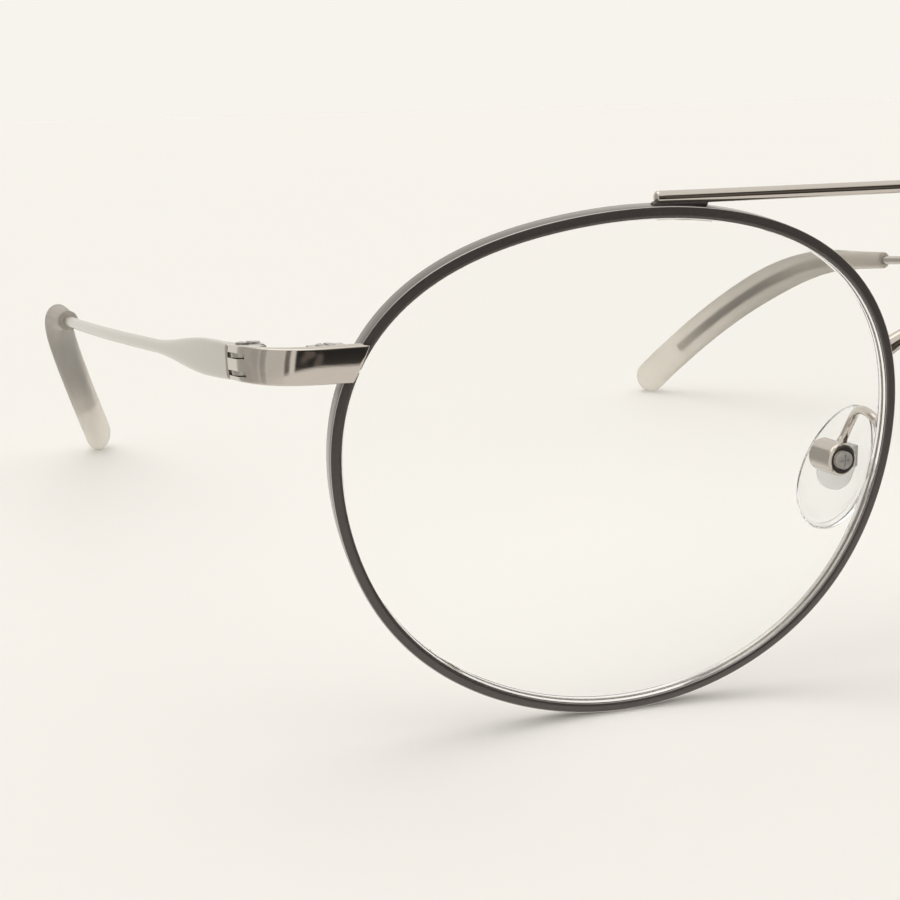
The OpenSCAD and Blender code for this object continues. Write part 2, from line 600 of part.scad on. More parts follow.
// Pad core: the tongue on the screw and the plate that the soft pad is moulded round
core_w = 3.4;
core_h = 4.6;
core_t = 0.6;
module pad_core() pad_frame() {
    difference() {
        union() {
            y_rod(tongue_r, tongue_w);
            translate([0, -tongue_w / 2, -tongue_r]) cube([pad_reach * 0.86, tongue_w, 2 * tongue_r]);
        }
        y_rod(pad_pin_r + pin_play, tongue_w + 2);
    }
    pad_turned() translate([pad_reach - core_t / 2, 0, -pad_drop]) rotate([0, 90, 0]) {
        translate([(core_h - core_w) / 2, 0, 0]) cylinder(d = core_w, h = core_t, center = true, $fn = fine);
        translate([-(core_h - core_w) / 2, 0, 0]) cylinder(d = core_w, h = core_t, center = true, $fn = fine);
        cube([core_h - core_w, core_w, core_t], center = true);
    }
}

// Nose pad: a soft drop-shaped cushion, flat behind and crowned towards the nose
pad_sides = 24;
function pad_ring(x, k) = [for (j = [0 : pad_sides - 1])
    let (q = j * 360 / pad_sides)
    [x, k * pad_w / 2 * sin(q) * (1 - 0.12 * cos(q)), k * pad_h / 2 * cos(q)]];
module nose_pad() pad_frame() pad_turned() translate([pad_reach, 0, -pad_drop])
    skin([for (r = [[-0.36, 0.8], [-0.34, 0.9], [-0.22, 0.98], [0, 1], [0.2, 0.96],
                    [0.4, 0.82], [0.54, 0.6], [0.61, 0.35], [0.64, 0.1]])
        pad_ring(r[0] * pad_t, r[1])]);

module right_rim() color(lacquer) on_front() rim();
module left_rim() color(lacquer) on_front() left_of() rim();
module right_lens() color(clear) on_front() lens();
module left_lens() color(clear) on_front() left_of() lens();
module brow_bar() color(polished) on_front() bar_shape();
module nose_bridge() color(polished) on_front() bridge_shape();
module right_end_piece() color(polished) on_front() end_piece();
module left_end_piece() color(polished) on_front() left_of() end_piece();
module upper_lock() lock_block(lock_mid + seam_gap / 2, lock_top, lock_screw_r + 0.03, lock_inner[0]);
module lower_lock() lock_block(lock_low, lock_mid - seam_gap / 2, lock_screw_r + 0.01, lower_inner[0]);
module right_upper_lock() color(satin) on_front() upper_lock();
module left_upper_lock() color(satin) on_front() left_of() upper_lock();
module right_lower_lock() color(satin) on_front() lower_lock();
module left_lower_lock() color(satin) on_front() left_of() lower_lock();
module right_lock_screw() color(polished) on_front() lock_screw();
module left_lock_screw() color(polished) on_front() left_of() lock_screw();
module right_front_hinge() color(satin) on_front() front_hinge();
module left_front_hinge() color(satin) on_front() left_of() front_hinge();
module right_temple_hinge() color(satin) on_front() temple_hinge();
module left_temple_hinge() color(satin) on_front() left_of() temple_hinge();
module right_hinge_screw() color(polished) on_front() hinge_screw();
module left_hinge_screw() color(polished) on_front() left_of() hinge_screw();
module right_temple() color(satin) on_front() temple();
module left_temple() color(satin) on_front() left_of() temple();
module right_temple_tip() color(smoke) on_front() temple_tip();
module left_temple_tip() color(smoke) on_front() left_of() temple_tip();
module right_pad_arm() color(polished) on_front() pad_arm();
module left_pad_arm() color(polished) on_front() left_of() pad_arm();
module right_pad_box() color(polished) on_front() pad_box();
module left_pad_box() color(polished) on_front() left_of() pad_box();
module right_pad_screw() color(satin) on_front() pad_screw();
module left_pad_screw() color(satin) on_front() left_of() pad_screw();
module right_pad_core() color(smoke) on_front() pad_core();
module left_pad_core() color(smoke) on_front() left_of() pad_core();
module right_nose_pad() color(clear) on_front() nose_pad();
module left_nose_pad() color(clear) on_front() left_of() nose_pad();

right_rim();
left_rim();
right_lens();
left_lens();
brow_bar();
nose_bridge();
right_end_piece();
left_end_piece();
right_upper_lock();
left_upper_lock();
right_lower_lock();
left_lower_lock();
right_lock_screw();
left_lock_screw();
right_front_hinge();
left_front_hinge();
right_temple_hinge();
left_temple_hinge();
right_hinge_screw();
left_hinge_screw();
right_temple();
left_temple();
right_temple_tip();
left_temple_tip();
right_pad_arm();
left_pad_arm();
right_pad_box();
left_pad_box();
right_pad_screw();
left_pad_screw();
right_pad_core();
left_pad_core();
right_nose_pad();
left_nose_pad();
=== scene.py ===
# %% [markdown]
# # A round metal eyeglass frame
# This lesson dresses an eyeglass frame that was built in CAD. The CAD model is loaded
# as a fixed frame with named bodies: the front, two temples and two nose pads. Every
# smooth piece that we model here rides on one of those bodies, so the hinges still work.

# %% Load the CAD frame
import json
import math

import bmesh
import bpy
from mathutils import Matrix, Vector


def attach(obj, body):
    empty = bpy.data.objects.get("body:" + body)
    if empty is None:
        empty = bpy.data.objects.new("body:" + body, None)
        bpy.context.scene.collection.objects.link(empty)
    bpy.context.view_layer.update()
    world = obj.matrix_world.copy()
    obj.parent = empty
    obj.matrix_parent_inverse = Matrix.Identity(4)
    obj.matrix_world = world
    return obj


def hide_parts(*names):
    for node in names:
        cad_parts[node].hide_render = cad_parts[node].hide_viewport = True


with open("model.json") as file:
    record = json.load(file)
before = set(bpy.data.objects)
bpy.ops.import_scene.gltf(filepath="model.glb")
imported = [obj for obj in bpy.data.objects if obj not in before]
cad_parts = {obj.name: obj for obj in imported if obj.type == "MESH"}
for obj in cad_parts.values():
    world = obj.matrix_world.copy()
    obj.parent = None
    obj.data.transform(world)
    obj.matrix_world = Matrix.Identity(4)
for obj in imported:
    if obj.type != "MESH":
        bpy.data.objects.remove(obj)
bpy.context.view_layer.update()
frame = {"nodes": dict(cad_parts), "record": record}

# %% [markdown]
# ## Sizes
# The CAD sizes are in millimetres, with the front at Y = 0 before the whole frame was
# centred over the origin. The hinge's place in the record tells us how far it moved,
# so one matrix takes any point from drawing millimetres to scene metres.

# %% Shared sizes and the drawing-to-scene matrix
MM = 0.001
JOINT_Y = 8.8
AXIS_AHEAD = 1.1
joints = {joint["name"]: joint for joint in frame["record"]["behaviour"]["joints"]}
SHIFT_Y = joints["right_hinge"]["pos_m"][1] / MM - (JOINT_Y - AXIS_AHEAD)
TO_SCENE = Matrix.Scale(MM, 4) @ Matrix.Translation((0, SHIFT_Y, 0))
print("the drawing moves", round(SHIFT_Y, 3), "mm along Y")

# %% [markdown]
# ## The lens outline
# A lens shape is a closed curve. This one is an ellipse with a few small waves added,
# the way an optician's tracer stores a shape as a radius for each angle. A few waves
# are easier to tune than a list of points, and they can't leave a kink. The rim
# wire, the lens, the bridge's feet and the roots of the pad arms all follow it.

# %% Outline of the wearer's right lens
HALF_W = 26.45
HALF_H = 23.7
WAVES = [("sin", 2, -0.37), ("cos", 3, -0.22), ("sin", 3, 0.56), ("cos", 4, -0.34),
         ("sin", 4, -0.07), ("sin", 5, 0.07), ("cos", 6, -0.1)]
BASE_CURVE = 110
SAG_REF = HALF_W - 2
RIM_TOE = 0.3
LENS_X = 35.5
WRAP = math.radians(6.5)
LEAN = math.radians(10)


def outline(turn):
    """The outline's point at an angle in radians, u to the nose and v up."""
    radius = 1 / math.hypot(math.cos(turn) / HALF_W, math.sin(turn) / HALF_H)
    for wave, count, height in WAVES:
        radius += height * getattr(math, wave)(count * turn)
    return Vector((radius * math.cos(turn), radius * math.sin(turn)))


def outline_grown(turn, grow):
    """The same point moved outwards by grow."""
    nudge = math.radians(0.5)
    along = outline(turn + nudge) - outline(turn - nudge)
    return outline(turn) + grow * Vector((along.y, -along.x)).normalized()


def on_lens(flat, depth):
    """Lays a flat point on the curved lens, depth behind its middle surface.

    The curved surface crosses the flat one at a distance of SAG_REF from its middle.
    """
    edge = math.sqrt(BASE_CURVE ** 2 - SAG_REF ** 2)
    sag = edge - math.sqrt(BASE_CURVE ** 2 - flat.length_squared)
    toed = (1 - depth * RIM_TOE / BASE_CURVE) * flat
    return Vector((toed.x, sag + depth, toed.y))


TURNED = Matrix.Rotation(-WRAP, 4, "Z") @ Matrix.Rotation(LEAN, 4, "X")
RIM_D = 1.8
RIM_W = 1.0


def rim_heights():
    """Heights over the lens's middle, all round the rim's front and back edges."""
    return [(TURNED @ on_lens(outline(math.radians(5 * i)), depth)).z
            for i in range(72) for depth in (-RIM_D / 2, RIM_D / 2)]


LENS_Z = -min(rim_heights())
TO_FRONT = Matrix.Translation((-LENS_X, 0, LENS_Z)) @ TURNED
print("lens centre at height", round(LENS_Z, 2), "mm")

# %% [markdown]
# ## A sweep, ring by ring
# Wire work is one ring of points extruded again and again along a path. We add a circle,
# put its points where the first ring is, and extrude it from station to station. A curve
# with a bevel would be quicker, but here we choose how the section turns, and the UV
# coordinates too: U runs along the wire and V round it, so that a finish can tell the
# front of a rim from its outer side.

# %% The sweep helper
MERGE = 1e-7


def lay_newest(piece, ring):
    """Moves the newest ring of the mesh in edit mode to the given points."""
    mesh = bmesh.from_edit_mesh(piece.data)
    mesh.verts.ensure_lookup_table()
    for vertex, point in zip(mesh.verts[-len(ring):], ring):
        vertex.co = TO_SCENE @ point
    bmesh.update_edit_mesh(piece.data)


def write_uv(piece, count, sides):
    """Gives each face corner its place along the sweep and round the ring."""
    mesh = bmesh.from_edit_mesh(piece.data)
    mesh.verts.index_update()
    uv = mesh.loops.layers.uv.verify()
    for face in mesh.faces:
        wraps = {loop.vert.index % sides for loop in face.loops} >= {0, sides - 1}
        for loop in face.loops:
            station, place = divmod(loop.vert.index, sides)
            if wraps and place == 0:
                place = sides
            loop[uv].uv = (station / (count - 1), place / sides)
    bmesh.update_edit_mesh(piece.data)


def cap(piece, ring_number, sides):
    """Closes an open end with one face."""
    mesh = bmesh.from_edit_mesh(piece.data)
    mesh.verts.ensure_lookup_table()
    first = ring_number % (len(mesh.verts) // sides) * sides
    mesh.faces.new(mesh.verts[first:first + sides])
    bmesh.update_edit_mesh(piece.data)


def sweep(name, rings, sharp=35):
    """Extrudes a ring through all the given rings and returns the smooth closed piece.

    Edges that turn more than sharp degrees stay crisp, and points that are less than
    MERGE metres apart become one.
    """
    sides = len(rings[0])
    bpy.ops.object.select_all(action="DESELECT")
    bpy.ops.mesh.primitive_circle_add(vertices=sides, radius=MM)
    piece = bpy.context.active_object
    piece.name = piece.data.name = name
    bpy.ops.object.mode_set(mode="EDIT")
    lay_newest(piece, rings[0])
    for ring in rings[1:]:
        bpy.ops.mesh.extrude_edges_move()
        lay_newest(piece, ring)
    write_uv(piece, len(rings), sides)
    cap(piece, 0, sides)
    cap(piece, -1, sides)
    bpy.ops.mesh.select_all(action="SELECT")
    bpy.ops.mesh.remove_doubles(threshold=MERGE)
    bpy.ops.mesh.normals_make_consistent(inside=False)
    bpy.ops.object.mode_set(mode="OBJECT")
    bpy.ops.object.shade_smooth_by_angle(angle=math.radians(sharp))
    print(name, len(piece.data.polygons), "faces")
    return piece


# %% [markdown]
# The frame is symmetric, so each side piece is modelled once, for the wearer's right,
# and copied. A Mirror modifier would keep both sides in one object, but each temple has
# to turn by itself, so the copy gets a mesh of its own. Mirroring turns a mesh inside
# out, so its faces are flipped back.

# %% Mirrored copies and the join to the CAD bodies
def select_only(piece):
    """Selects one piece and makes it the active one."""
    bpy.ops.object.select_all(action="DESELECT")
    piece.select_set(True)
    bpy.context.view_layer.objects.active = piece


def mirrored(piece, name):
    """Copies a piece to the wearer's left."""
    select_only(piece)
    bpy.ops.object.duplicate()
    twin = bpy.context.active_object
    twin.name = twin.data.name = name
    bpy.ops.object.mode_set(mode="EDIT")
    bpy.ops.mesh.select_all(action="SELECT")
    bpy.ops.transform.resize(value=(-1, 1, 1), center_override=(0, 0, 0))
    bpy.ops.mesh.flip_normals()
    bpy.ops.object.mode_set(mode="OBJECT")
    return twin


def dress(piece, node, body, finish):
    """Lets a piece stand for a CAD node, on its body and in its finish."""
    piece.data.materials.clear()
    piece.data.materials.append(finish)
    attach(piece, body)
    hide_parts(node)


def dress_pair(piece, part, body, finish):
    """Dresses the wearer's right piece and its mirrored twin."""
    twin = mirrored(piece, "left_" + part + "_form")
    for side, shape in (("right_", piece), ("left_", twin)):
        on = body if body == "front" else side + body
        dress(shape, side + part, on, finish)


# %% [markdown]
# ## Shader maths as Python
# A material is a graph of nodes. Wiring dozens of them by hand is long and hard to read.
# The small class below wraps an output socket, so that an expression such as
# 1 - mask * 0.5 adds its Math nodes by itself. Everything else comes from one method
# that adds a node of any type.

# %% Sockets that can be added and multiplied
class Signal:
    """One output of a node, with arithmetic."""

    def __init__(self, graph, socket):
        self.graph = graph
        self.socket = socket

    def join(self, operation, first, second):
        sockets = {0: first, 1: second}
        return self.graph.add("ShaderNodeMath", {"operation": operation}, sockets)

    def __add__(self, other):
        return self.join("ADD", self, other)

    def __radd__(self, other):
        return self.join("ADD", other, self)

    def __sub__(self, other):
        return self.join("SUBTRACT", self, other)

    def __rsub__(self, other):
        return self.join("SUBTRACT", other, self)

    def __mul__(self, other):
        return self.join("MULTIPLY", self, other)

    def __rmul__(self, other):
        return self.join("MULTIPLY", other, self)


class Graph:
    """A node tree of a material or of the world."""

    def __init__(self, owner):
        owner.use_nodes = True
        self.tree = owner.node_tree

    def add(self, kind, settings, sockets, output=0):
        """Adds a node, sets it up, feeds its sockets and returns one output."""
        node = self.tree.nodes.new(kind)
        for key, value in settings.items():
            setattr(node, key, value)
        for key, value in sockets.items():
            self.feed(node.inputs[key], value)
        return Signal(self, node.outputs[output])

    def feed(self, socket, value):
        """Links a signal to a socket, or stores a plain value on it."""
        if isinstance(value, Signal):
            self.tree.links.new(value.socket, socket)
        else:
            socket.default_value = value

    def step(self, value, low, high):
        """0 below low, 1 above high and a smooth step between."""
        return self.add("ShaderNodeMapRange", {"interpolation_type": "SMOOTHSTEP"},
                        {0: value, 1: low, 2: high})

    def axis(self, vector, number):
        """One coordinate of a vector: 0 for X or U, 1 for Y or V, 2 for Z."""
        return self.add("ShaderNodeSeparateXYZ", {}, {0: vector}, number)

    def blend(self, factor, first, second):
        """Mixes two colours."""
        sockets = {0: factor, 6: first, 7: second}
        return self.add("ShaderNodeMix", {"data_type": "RGBA"}, sockets, 2)


class Finish(Graph):
    """A material under construction."""

    def __init__(self, name, **constants):
        self.material = bpy.data.materials.new(name)
        super().__init__(self.material)
        self.shader = self.tree.nodes["Principled BSDF"]
        self.set(**constants)

    def set(self, **inputs):
        """Feeds the shader's own sockets."""
        for socket, value in inputs.items():
            self.feed(self.shader.inputs[socket.replace("_", " ")], value)

    def place(self):
        """Object coordinates."""
        return self.add("ShaderNodeTexCoord", {}, {}, "Object")

    def swept(self):
        """The sweep's own coordinates: U along the wire and V round it."""
        return self.add("ShaderNodeUVMap", {"uv_map": "UVMap"}, {})

    def noise(self, place, scale, detail=2.0, stretch=(1, 1, 1)):
        """Cloudy noise, stretched along an axis where the scale there is small."""
        mapped = self.add("ShaderNodeMapping", {}, {"Vector": place, "Scale": stretch})
        sockets = {"Vector": mapped, "Scale": scale, "Detail": detail}
        return self.add("ShaderNodeTexNoise", {}, sockets)

    def vary(self, scale, detail, colours, rough, spread):
        """Lets one noise move the colour and the roughness, and returns that noise."""
        grain = self.noise(self.place(), scale, detail)
        self.set(Base_Color=self.blend(grain, *colours), Roughness=rough + grain * spread)
        return grain

    def bump(self, height, distance, strength=1.0):
        """Small surface relief from a height."""
        sockets = {"Height": height, "Distance": distance, "Strength": strength}
        self.set(Normal=self.add("ShaderNodeBump", {}, sockets))


# %% [markdown]
# ## Metal finishes
# Wire frames are steel or a nickel alloy. Polished parts show faint drag lines from the buffing
# wheel, satin parts a finer and rougher grain, and handling dulls the gloss in broad
# marks. All of that is noise at a real scale, in Object coordinates, so one function
# makes every metal here. The temple's wire is also darkened where plastic covers it, a painted
# shade.

# %% Polished and satin metal
# Painted shade: the temple wire is darkened between these places along its sweep, where the
# tip's plastic covers it.
COVERED = (0.76, 0.88)
COVER_FADES = (0.94, 1.0)
PAINTED_CORE_SHADE = (0.11, 0.102, 0.094, 1)


def metal(name, colour, dark, rough, grain, stretch, relief, covered=False):
    """A metal whose gloss varies with a fine grain and broad handling marks.

    A covered wire is darkened between the two places along its sweep in COVERED, a painted
    shade where the plastic covers it.
    """
    finish = Finish(name, Metallic=1.0)
    place = finish.place()
    lines = finish.noise(place, grain, 3.0, stretch)
    clouds = finish.noise(place, 180.0)
    mask = 0.5 * lines + 0.5 * clouds
    shade = finish.blend(mask, (*dark, 1), (*colour, 1))
    # Painted shade on the covered wire, fading towards the tip's end.
    if covered:
        reach = finish.axis(finish.swept(), 0)
        inside = finish.step(reach, *COVERED) * (1 - 0.7 * finish.step(reach, *COVER_FADES))
        shade = finish.blend(inside, shade, PAINTED_CORE_SHADE)
    finish.set(Base_Color=shade)
    finish.set(Roughness=rough * 0.75 + mask * (rough * 0.5))
    finish.bump(lines, relief, 0.25)
    return finish.material


polished = metal("polished_steel", (0.62, 0.575, 0.525), (0.54, 0.495, 0.45), 0.08,
                 900.0, (1, 1, 4), 0.00001)
satin = metal("satin_steel", (0.56, 0.53, 0.49), (0.44, 0.415, 0.38), 0.26,
              1500.0, (3, 1, 3), 0.000015)
temple_metal = metal("temple_steel", (0.6, 0.57, 0.53), (0.52, 0.495, 0.455), 0.2,
                     1200.0, (2, 0.1, 2), 0.00001, covered=True)
screw_metal = metal("screw_steel", (0.52, 0.5, 0.47), (0.36, 0.345, 0.325), 0.38,
                    2000.0, (1, 1, 6), 0.00005)
print("metals:", polished.name, satin.name, temple_metal.name, screw_metal.name)

# %% [markdown]
# ## Rim section
# The rim is drawn wire with a groove for the lens. The groove could be cut out later,
# but as part of the section it stays clean all round. The section's corners go back
# along the outer side, round the groove and over a chamfer to the front face, and each
# is rounded a little. The sweep's V coordinate follows them, and the chamfer and the
# front face take its last seventh.

# %% Rim section
def rounded(corners, radius, steps=3):
    """A section with each of its corners rounded by a small curve."""
    points = []
    for i, corner in enumerate(corners):
        before = corner + radius * (corners[i - 1] - corner).normalized()
        after = corner + radius * (corners[(i + 1) % len(corners)] - corner).normalized()
        for k in range(steps + 1):
            t = k / steps
            points.append((1 - t) ** 2 * before + 2 * t * (1 - t) * corner + t * t * after)
    return points


RIM_LIP = 0.22
RIM_ROUND = 0.1
CORNER_STEPS = 3
GROOVE_DEPTH = 0.35
GROOVE_MOUTH = 0.7
BEVEL_T = 0.4
PLAY = 0.05
groove_x = GROOVE_DEPTH - RIM_W
groove_floor = BEVEL_T / 2 + PLAY
rim_corners = [Vector((0, -RIM_D / 2)), Vector((0, RIM_D / 2)), Vector((-RIM_W, RIM_D / 2)),
               Vector((-RIM_W, GROOVE_MOUTH / 2)), Vector((groove_x, groove_floor)),
               Vector((groove_x, -groove_floor)), Vector((-RIM_W, -GROOVE_MOUTH / 2)),
               Vector((-RIM_W, RIM_LIP - RIM_D / 2)), Vector((RIM_LIP - RIM_W, -RIM_D / 2))]
rim_section = rounded(rim_corners, RIM_ROUND, CORNER_STEPS)
front_start = 1 - (CORNER_STEPS + 2) / len(rim_section)
back_corner = (CORNER_STEPS + 1) / len(rim_section)
print("the chamfer starts at V =", round(front_start, 3))

# %% [markdown]
# ## Rim lacquer
# The rim's front face and the chamfer beside it are lacquered dark. On the outer side
# the lacquer was wiped to a thin grey wash, and the rest was polished back to bare metal.
# The outer side is also darkened under each end of the brow bar, where it is soldered on:
# this is painted shadow of the bar, in the lacquer's colour and gloss. Painting this by hand
# would need an image, so V picks the side of the wire and Object coordinates, in metres, pick
# the place under the bar.

# %% Rim lacquer
COAT_DARK = (0.06, 0.052, 0.049, 1)
COAT_LIGHT = (0.145, 0.13, 0.124, 1)
COAT_EDGE = 0.01
# Painted shadow: under each end of the brow bar the rim's outer side takes the lacquer, between
# these distances from the middle and near the rim's top.
BAR_SHADOW_STARTS = (0.0295, 0.0315)
BAR_SHADOW_ENDS = (0.0353, 0.0357)
RIM_TOP = (0.04, 0.042)
rim_finish = Finish("rim_lacquer")
uv = rim_finish.swept()
round_ring = rim_finish.axis(uv, 1)
place = rim_finish.place()
wear = rim_finish.noise(place, 500.0, 3.0)
edge = round_ring + (wear - 0.5) * COAT_EDGE
lacquer = rim_finish.step(edge, front_start - COAT_EDGE, front_start + COAT_EDGE)
speckle = rim_finish.noise(place, 4000.0)
streaks = rim_finish.noise(uv, 1.0, 3.0, (12, 260, 1))
outer_side = (rim_finish.step(round_ring, back_corner - 0.07, back_corner - 0.05)
              * (1 - rim_finish.step(round_ring, back_corner + 0.02, back_corner + 0.06)))
bright = rim_finish.blend(wear, (0.48, 0.455, 0.435, 1), (0.6, 0.575, 0.555, 1))
washed = rim_finish.blend(wear, (0.165, 0.155, 0.145, 1), (0.225, 0.213, 0.2, 1))
bare = rim_finish.blend(outer_side, bright, washed)
coat = rim_finish.blend(0.4 * speckle + 0.6 * streaks, COAT_DARK, COAT_LIGHT)
sideways = rim_finish.axis(place, 0)
from_middle = sideways.join("ABSOLUTE", sideways, 0)
# Painted shadow of the brow bar on the rim's outer side, under each of its ends.
solder = (rim_finish.step(from_middle, *BAR_SHADOW_STARTS)
          * (1 - rim_finish.step(from_middle, *BAR_SHADOW_ENDS))
          * rim_finish.step(rim_finish.axis(place, 2), *RIM_TOP))
painted = lacquer + solder * outer_side * (1 - lacquer)
rim_finish.set(Base_Color=rim_finish.blend(painted, bare, coat))
rim_finish.set(Metallic=1 - painted * 0.55, Roughness=0.16 + painted * 0.16 + wear * 0.06)
rim_finish.bump(speckle, 0.00001, 0.3)
print("the lacquer has", len(rim_finish.tree.nodes), "nodes")

# %% [markdown]
# ## Rims
# Each rim is one grooved wire bent round the lens and open at the lock, behind the end
# piece. A ring solid could be stretched into this shape, but it would have no opening,
# so we sweep the section round the outline, a little denser than two degrees a step.

# %% Sweep the rims
SEAM = math.radians(156.6)
SEAM_GAP = 0.3
RIM_STEPS = 200
half_gap = SEAM_GAP / outline(SEAM).length / 2
rim_rings = []
for i in range(RIM_STEPS + 1):
    turn = SEAM + half_gap + (2 * math.pi - 2 * half_gap) * i / RIM_STEPS
    rim_rings.append([TO_FRONT @ on_lens(outline_grown(turn, grow), depth)
                      for grow, depth in rim_section])
rim = sweep("right_rim_form", rim_rings)
dress_pair(rim, "rim", "front", rim_finish.material)

# %% [markdown]
# ## Lenses
# The demonstration lenses are thin clear plastic, so almost nothing shows but their
# edges and a soft reflection. A lens could be cut from two spheres, but its edge has to
# follow the rim. So it is swept too, with nested rings: from the middle of the front
# surface out to the bevel, and the same way back to the middle behind.

# %% Clear plastic and the lenses
clear = Finish("clear_lens", IOR=1.15, Transmission_Weight=1.0)
clear.vary(150.0, 4.0, ((0.985, 0.99, 0.985, 1), (1, 1, 1, 1)), 0.0, 0.02)

LENS_T = 1.5
LENS_CHAMFER = 0.06
BEVEL_ROOT = 0.03
BEVEL_TIP = 0.08
LENS_SIDES = 160
body_edge = -RIM_W - PLAY
bevel_edge = groove_x - PLAY
front_half = [(share, None, -LENS_T / 2) for share in (0.02, 0.35, 0.7, 0.93)]
front_half += [(1, body_edge - LENS_CHAMFER, -LENS_T / 2),
               (1, body_edge, LENS_CHAMFER - LENS_T / 2),
               (1, body_edge, -BEVEL_T / 2 - BEVEL_ROOT),
               (1, bevel_edge, BEVEL_TIP - BEVEL_T / 2)]
back_half = [(share, grow, -depth) for share, grow, depth in reversed(front_half)]
lens_rings = []
for share, grow, depth in front_half + back_half:
    ring = []
    for i in range(LENS_SIDES):
        turn = 2 * math.pi * i / LENS_SIDES
        flat = outline(turn) * share if grow is None else outline_grown(turn, grow)
        ring.append(TO_FRONT @ on_lens(flat, depth))
    lens_rings.append(ring)
lens = sweep("right_lens_form", lens_rings, sharp=25)
lens.visible_shadow = False
dress_pair(lens, "lens", "front", clear.material)

# %% [markdown]
# ## Round wire
# The brow bar, the bridge and the pad arms are round wire. A ring of wire is a circle
# square to the path. The path alone doesn't say how the circle turns, so one of its axes
# is kept near a given direction and the wire never twists. Its half sizes may differ,
# for a wire pressed flat.

# %% Rings of wire along a path
def smooth(x):
    """An S-shaped step from 0 to 1."""
    x = min(max(x, 0), 1)
    return x * x * (3 - 2 * x)


def soft(x, roundness):
    """A power that keeps the sign: 1 keeps a circle, less squares it."""
    return math.copysign(abs(x) ** roundness, x)


def wire_ring(point, along, upwards, half_h, half_t, roundness=1.0, sides=24):
    """An oval ring square to the path, half_h upwards and half_t sideways."""
    up = (upwards - upwards.dot(along) * along).normalized()
    side = along.cross(up)
    ring = []
    for j in range(sides):
        angle = 2 * math.pi * (j + 0.5) / sides
        ring.append(point + half_h * soft(math.cos(angle), roundness) * up
                    + half_t * soft(math.sin(angle), roundness) * side)
    return ring


def direction(path, t, step):
    """The path's direction at t."""
    return (path(t + step) - path(t - step)).normalized()


UP = Vector((0, 0, 1))

# %% [markdown]
# ## Brow bar
# One long shallow arc of round bar lies across the tops of the rims and is soldered to
# them. A bent cylinder would do, but its ends would stay flat, where the real ones are
# rounded off. So the sweep starts and stops with a few rings that shrink to a dome.

# %% Sweep the brow bar
BAR_D = 1.12
BAR_HALF = 35.4
BAR_BOW = 2
BAR_SINK = 0.12
BAR_DOME = 0.3
BAR_STEPS = 120
BAR_NUDGE = 0.001
bar_seat = TO_FRONT @ on_lens(outline(math.radians(90)), 0)
bar_radius = (BAR_HALF ** 2 + BAR_BOW ** 2) / (2 * BAR_BOW)
bar_turn = math.asin(BAR_HALF / bar_radius)
rim_high = LENS_Z + max(rim_heights())
bar_z = rim_high + BAR_D / 2 - BAR_SINK


def bar_path(turn):
    """The bar's middle line, an arc about an axis behind the frame."""
    return Vector((bar_radius * math.sin(turn),
                   bar_seat.y - BAR_BOW + bar_radius * (1 - math.cos(turn)), bar_z))


def rounded_ends(first, last, reach, steps, turns=6):
    """Places from first to last with a share of the wire's thickness, round at both ends."""
    ends = []
    for k in range(1, turns):
        angle = math.pi / 2 * k / turns
        ends.append((reach * (1 - math.cos(angle)), math.sin(angle)))
    span = last - first - 2 * reach
    places = [(first + gap, share) for gap, share in ends]
    places += [(first + reach + span * i / steps, 1) for i in range(steps + 1)]
    return places + [(last - gap, share) for gap, share in reversed(ends)]


bar_places = rounded_ends(-bar_turn, bar_turn, BAR_DOME / bar_radius, BAR_STEPS)
bar_rings = [wire_ring(bar_path(turn), direction(bar_path, turn, BAR_NUDGE), UP,
                       BAR_D / 2 * share, BAR_D / 2 * share, sides=28)
             for turn, share in bar_places]
bar = sweep("brow_bar_form", bar_rings, sharp=60)
dress(bar, "brow_bar", "front", polished)
print("the bar is", round(2 * bar_turn * bar_radius, 1), "mm long")

# %% [markdown]
# The solder runs in under the bar for a few millimetres and swells out a little past its
# end. It takes the rim lacquer's dark colours as painted shade, for the shade under the bar. It
# is a piece of its own because the bar above it is bare, and it is swept along the same arc.

# %% Solder beds under the bar's ends
# Painted shade: the solder gets the lacquer's dark colours, standing in for the shade under the
# bar.
solder_shade_finish = Finish("solder_painted_shade", Metallic=0.45)
speckle = solder_shade_finish.vary(4000.0, 2.0, (COAT_DARK, COAT_LIGHT), 0.32, 0.06)
solder_shade_finish.bump(speckle, 0.00001, 0.3)

SOLDER_LEN = 4.8
SOLDER_PAST = 0.3
SOLDER_HALF_H = 0.345
SOLDER_HALF_T = 0.42
SOLDER_SINK = 0.155
SOLDER_DOME = 0.4
SOLDER_STEPS = 14
bed_drop = Vector((0, 0, bar_z - rim_high + SOLDER_SINK))
bed_places = rounded_ends(-math.asin((BAR_HALF + SOLDER_PAST) / bar_radius),
                          -math.asin((BAR_HALF - SOLDER_LEN) / bar_radius),
                          SOLDER_DOME / bar_radius, SOLDER_STEPS)
bed_rings = [wire_ring(bar_path(turn) - bed_drop, direction(bar_path, turn, BAR_NUDGE), UP,
                       SOLDER_HALF_H * share, SOLDER_HALF_T * share, sides=24)
             for turn, share in bed_places]
bed = sweep("right_bar_solder_form", bed_rings, sharp=60)
for piece in (bed, mirrored(bed, "left_bar_solder_form")):
    dress(piece, "brow_bar", "front", solder_shade_finish.material)

# %% [markdown]
# ## Bridge
# The lower bridge is a thicker arched wire whose ends are soldered to the nose sides of
# the rims. The solder makes each end a little thicker, like a small trumpet. A piece of
# torus would give the arch but not the trumpets, so the wire is swept along an arc.

# %% Sweep the bridge
BRIDGE_D = 1.6
BRIDGE_RISE = 8.2
BRIDGE_ARCH = 2.6
BRIDGE_SINK = 0.1
BRIDGE_BACK = 0.1
BRIDGE_SWELL = 0.12
SWELL_LEN = 0.9
BRIDGE_STEPS = 60


def nose_side(height):
    """The first whole degree at which the outline is at least that high."""
    degree = next(a for a in range(61) if outline(math.radians(a)).y >= height)
    return math.radians(degree)


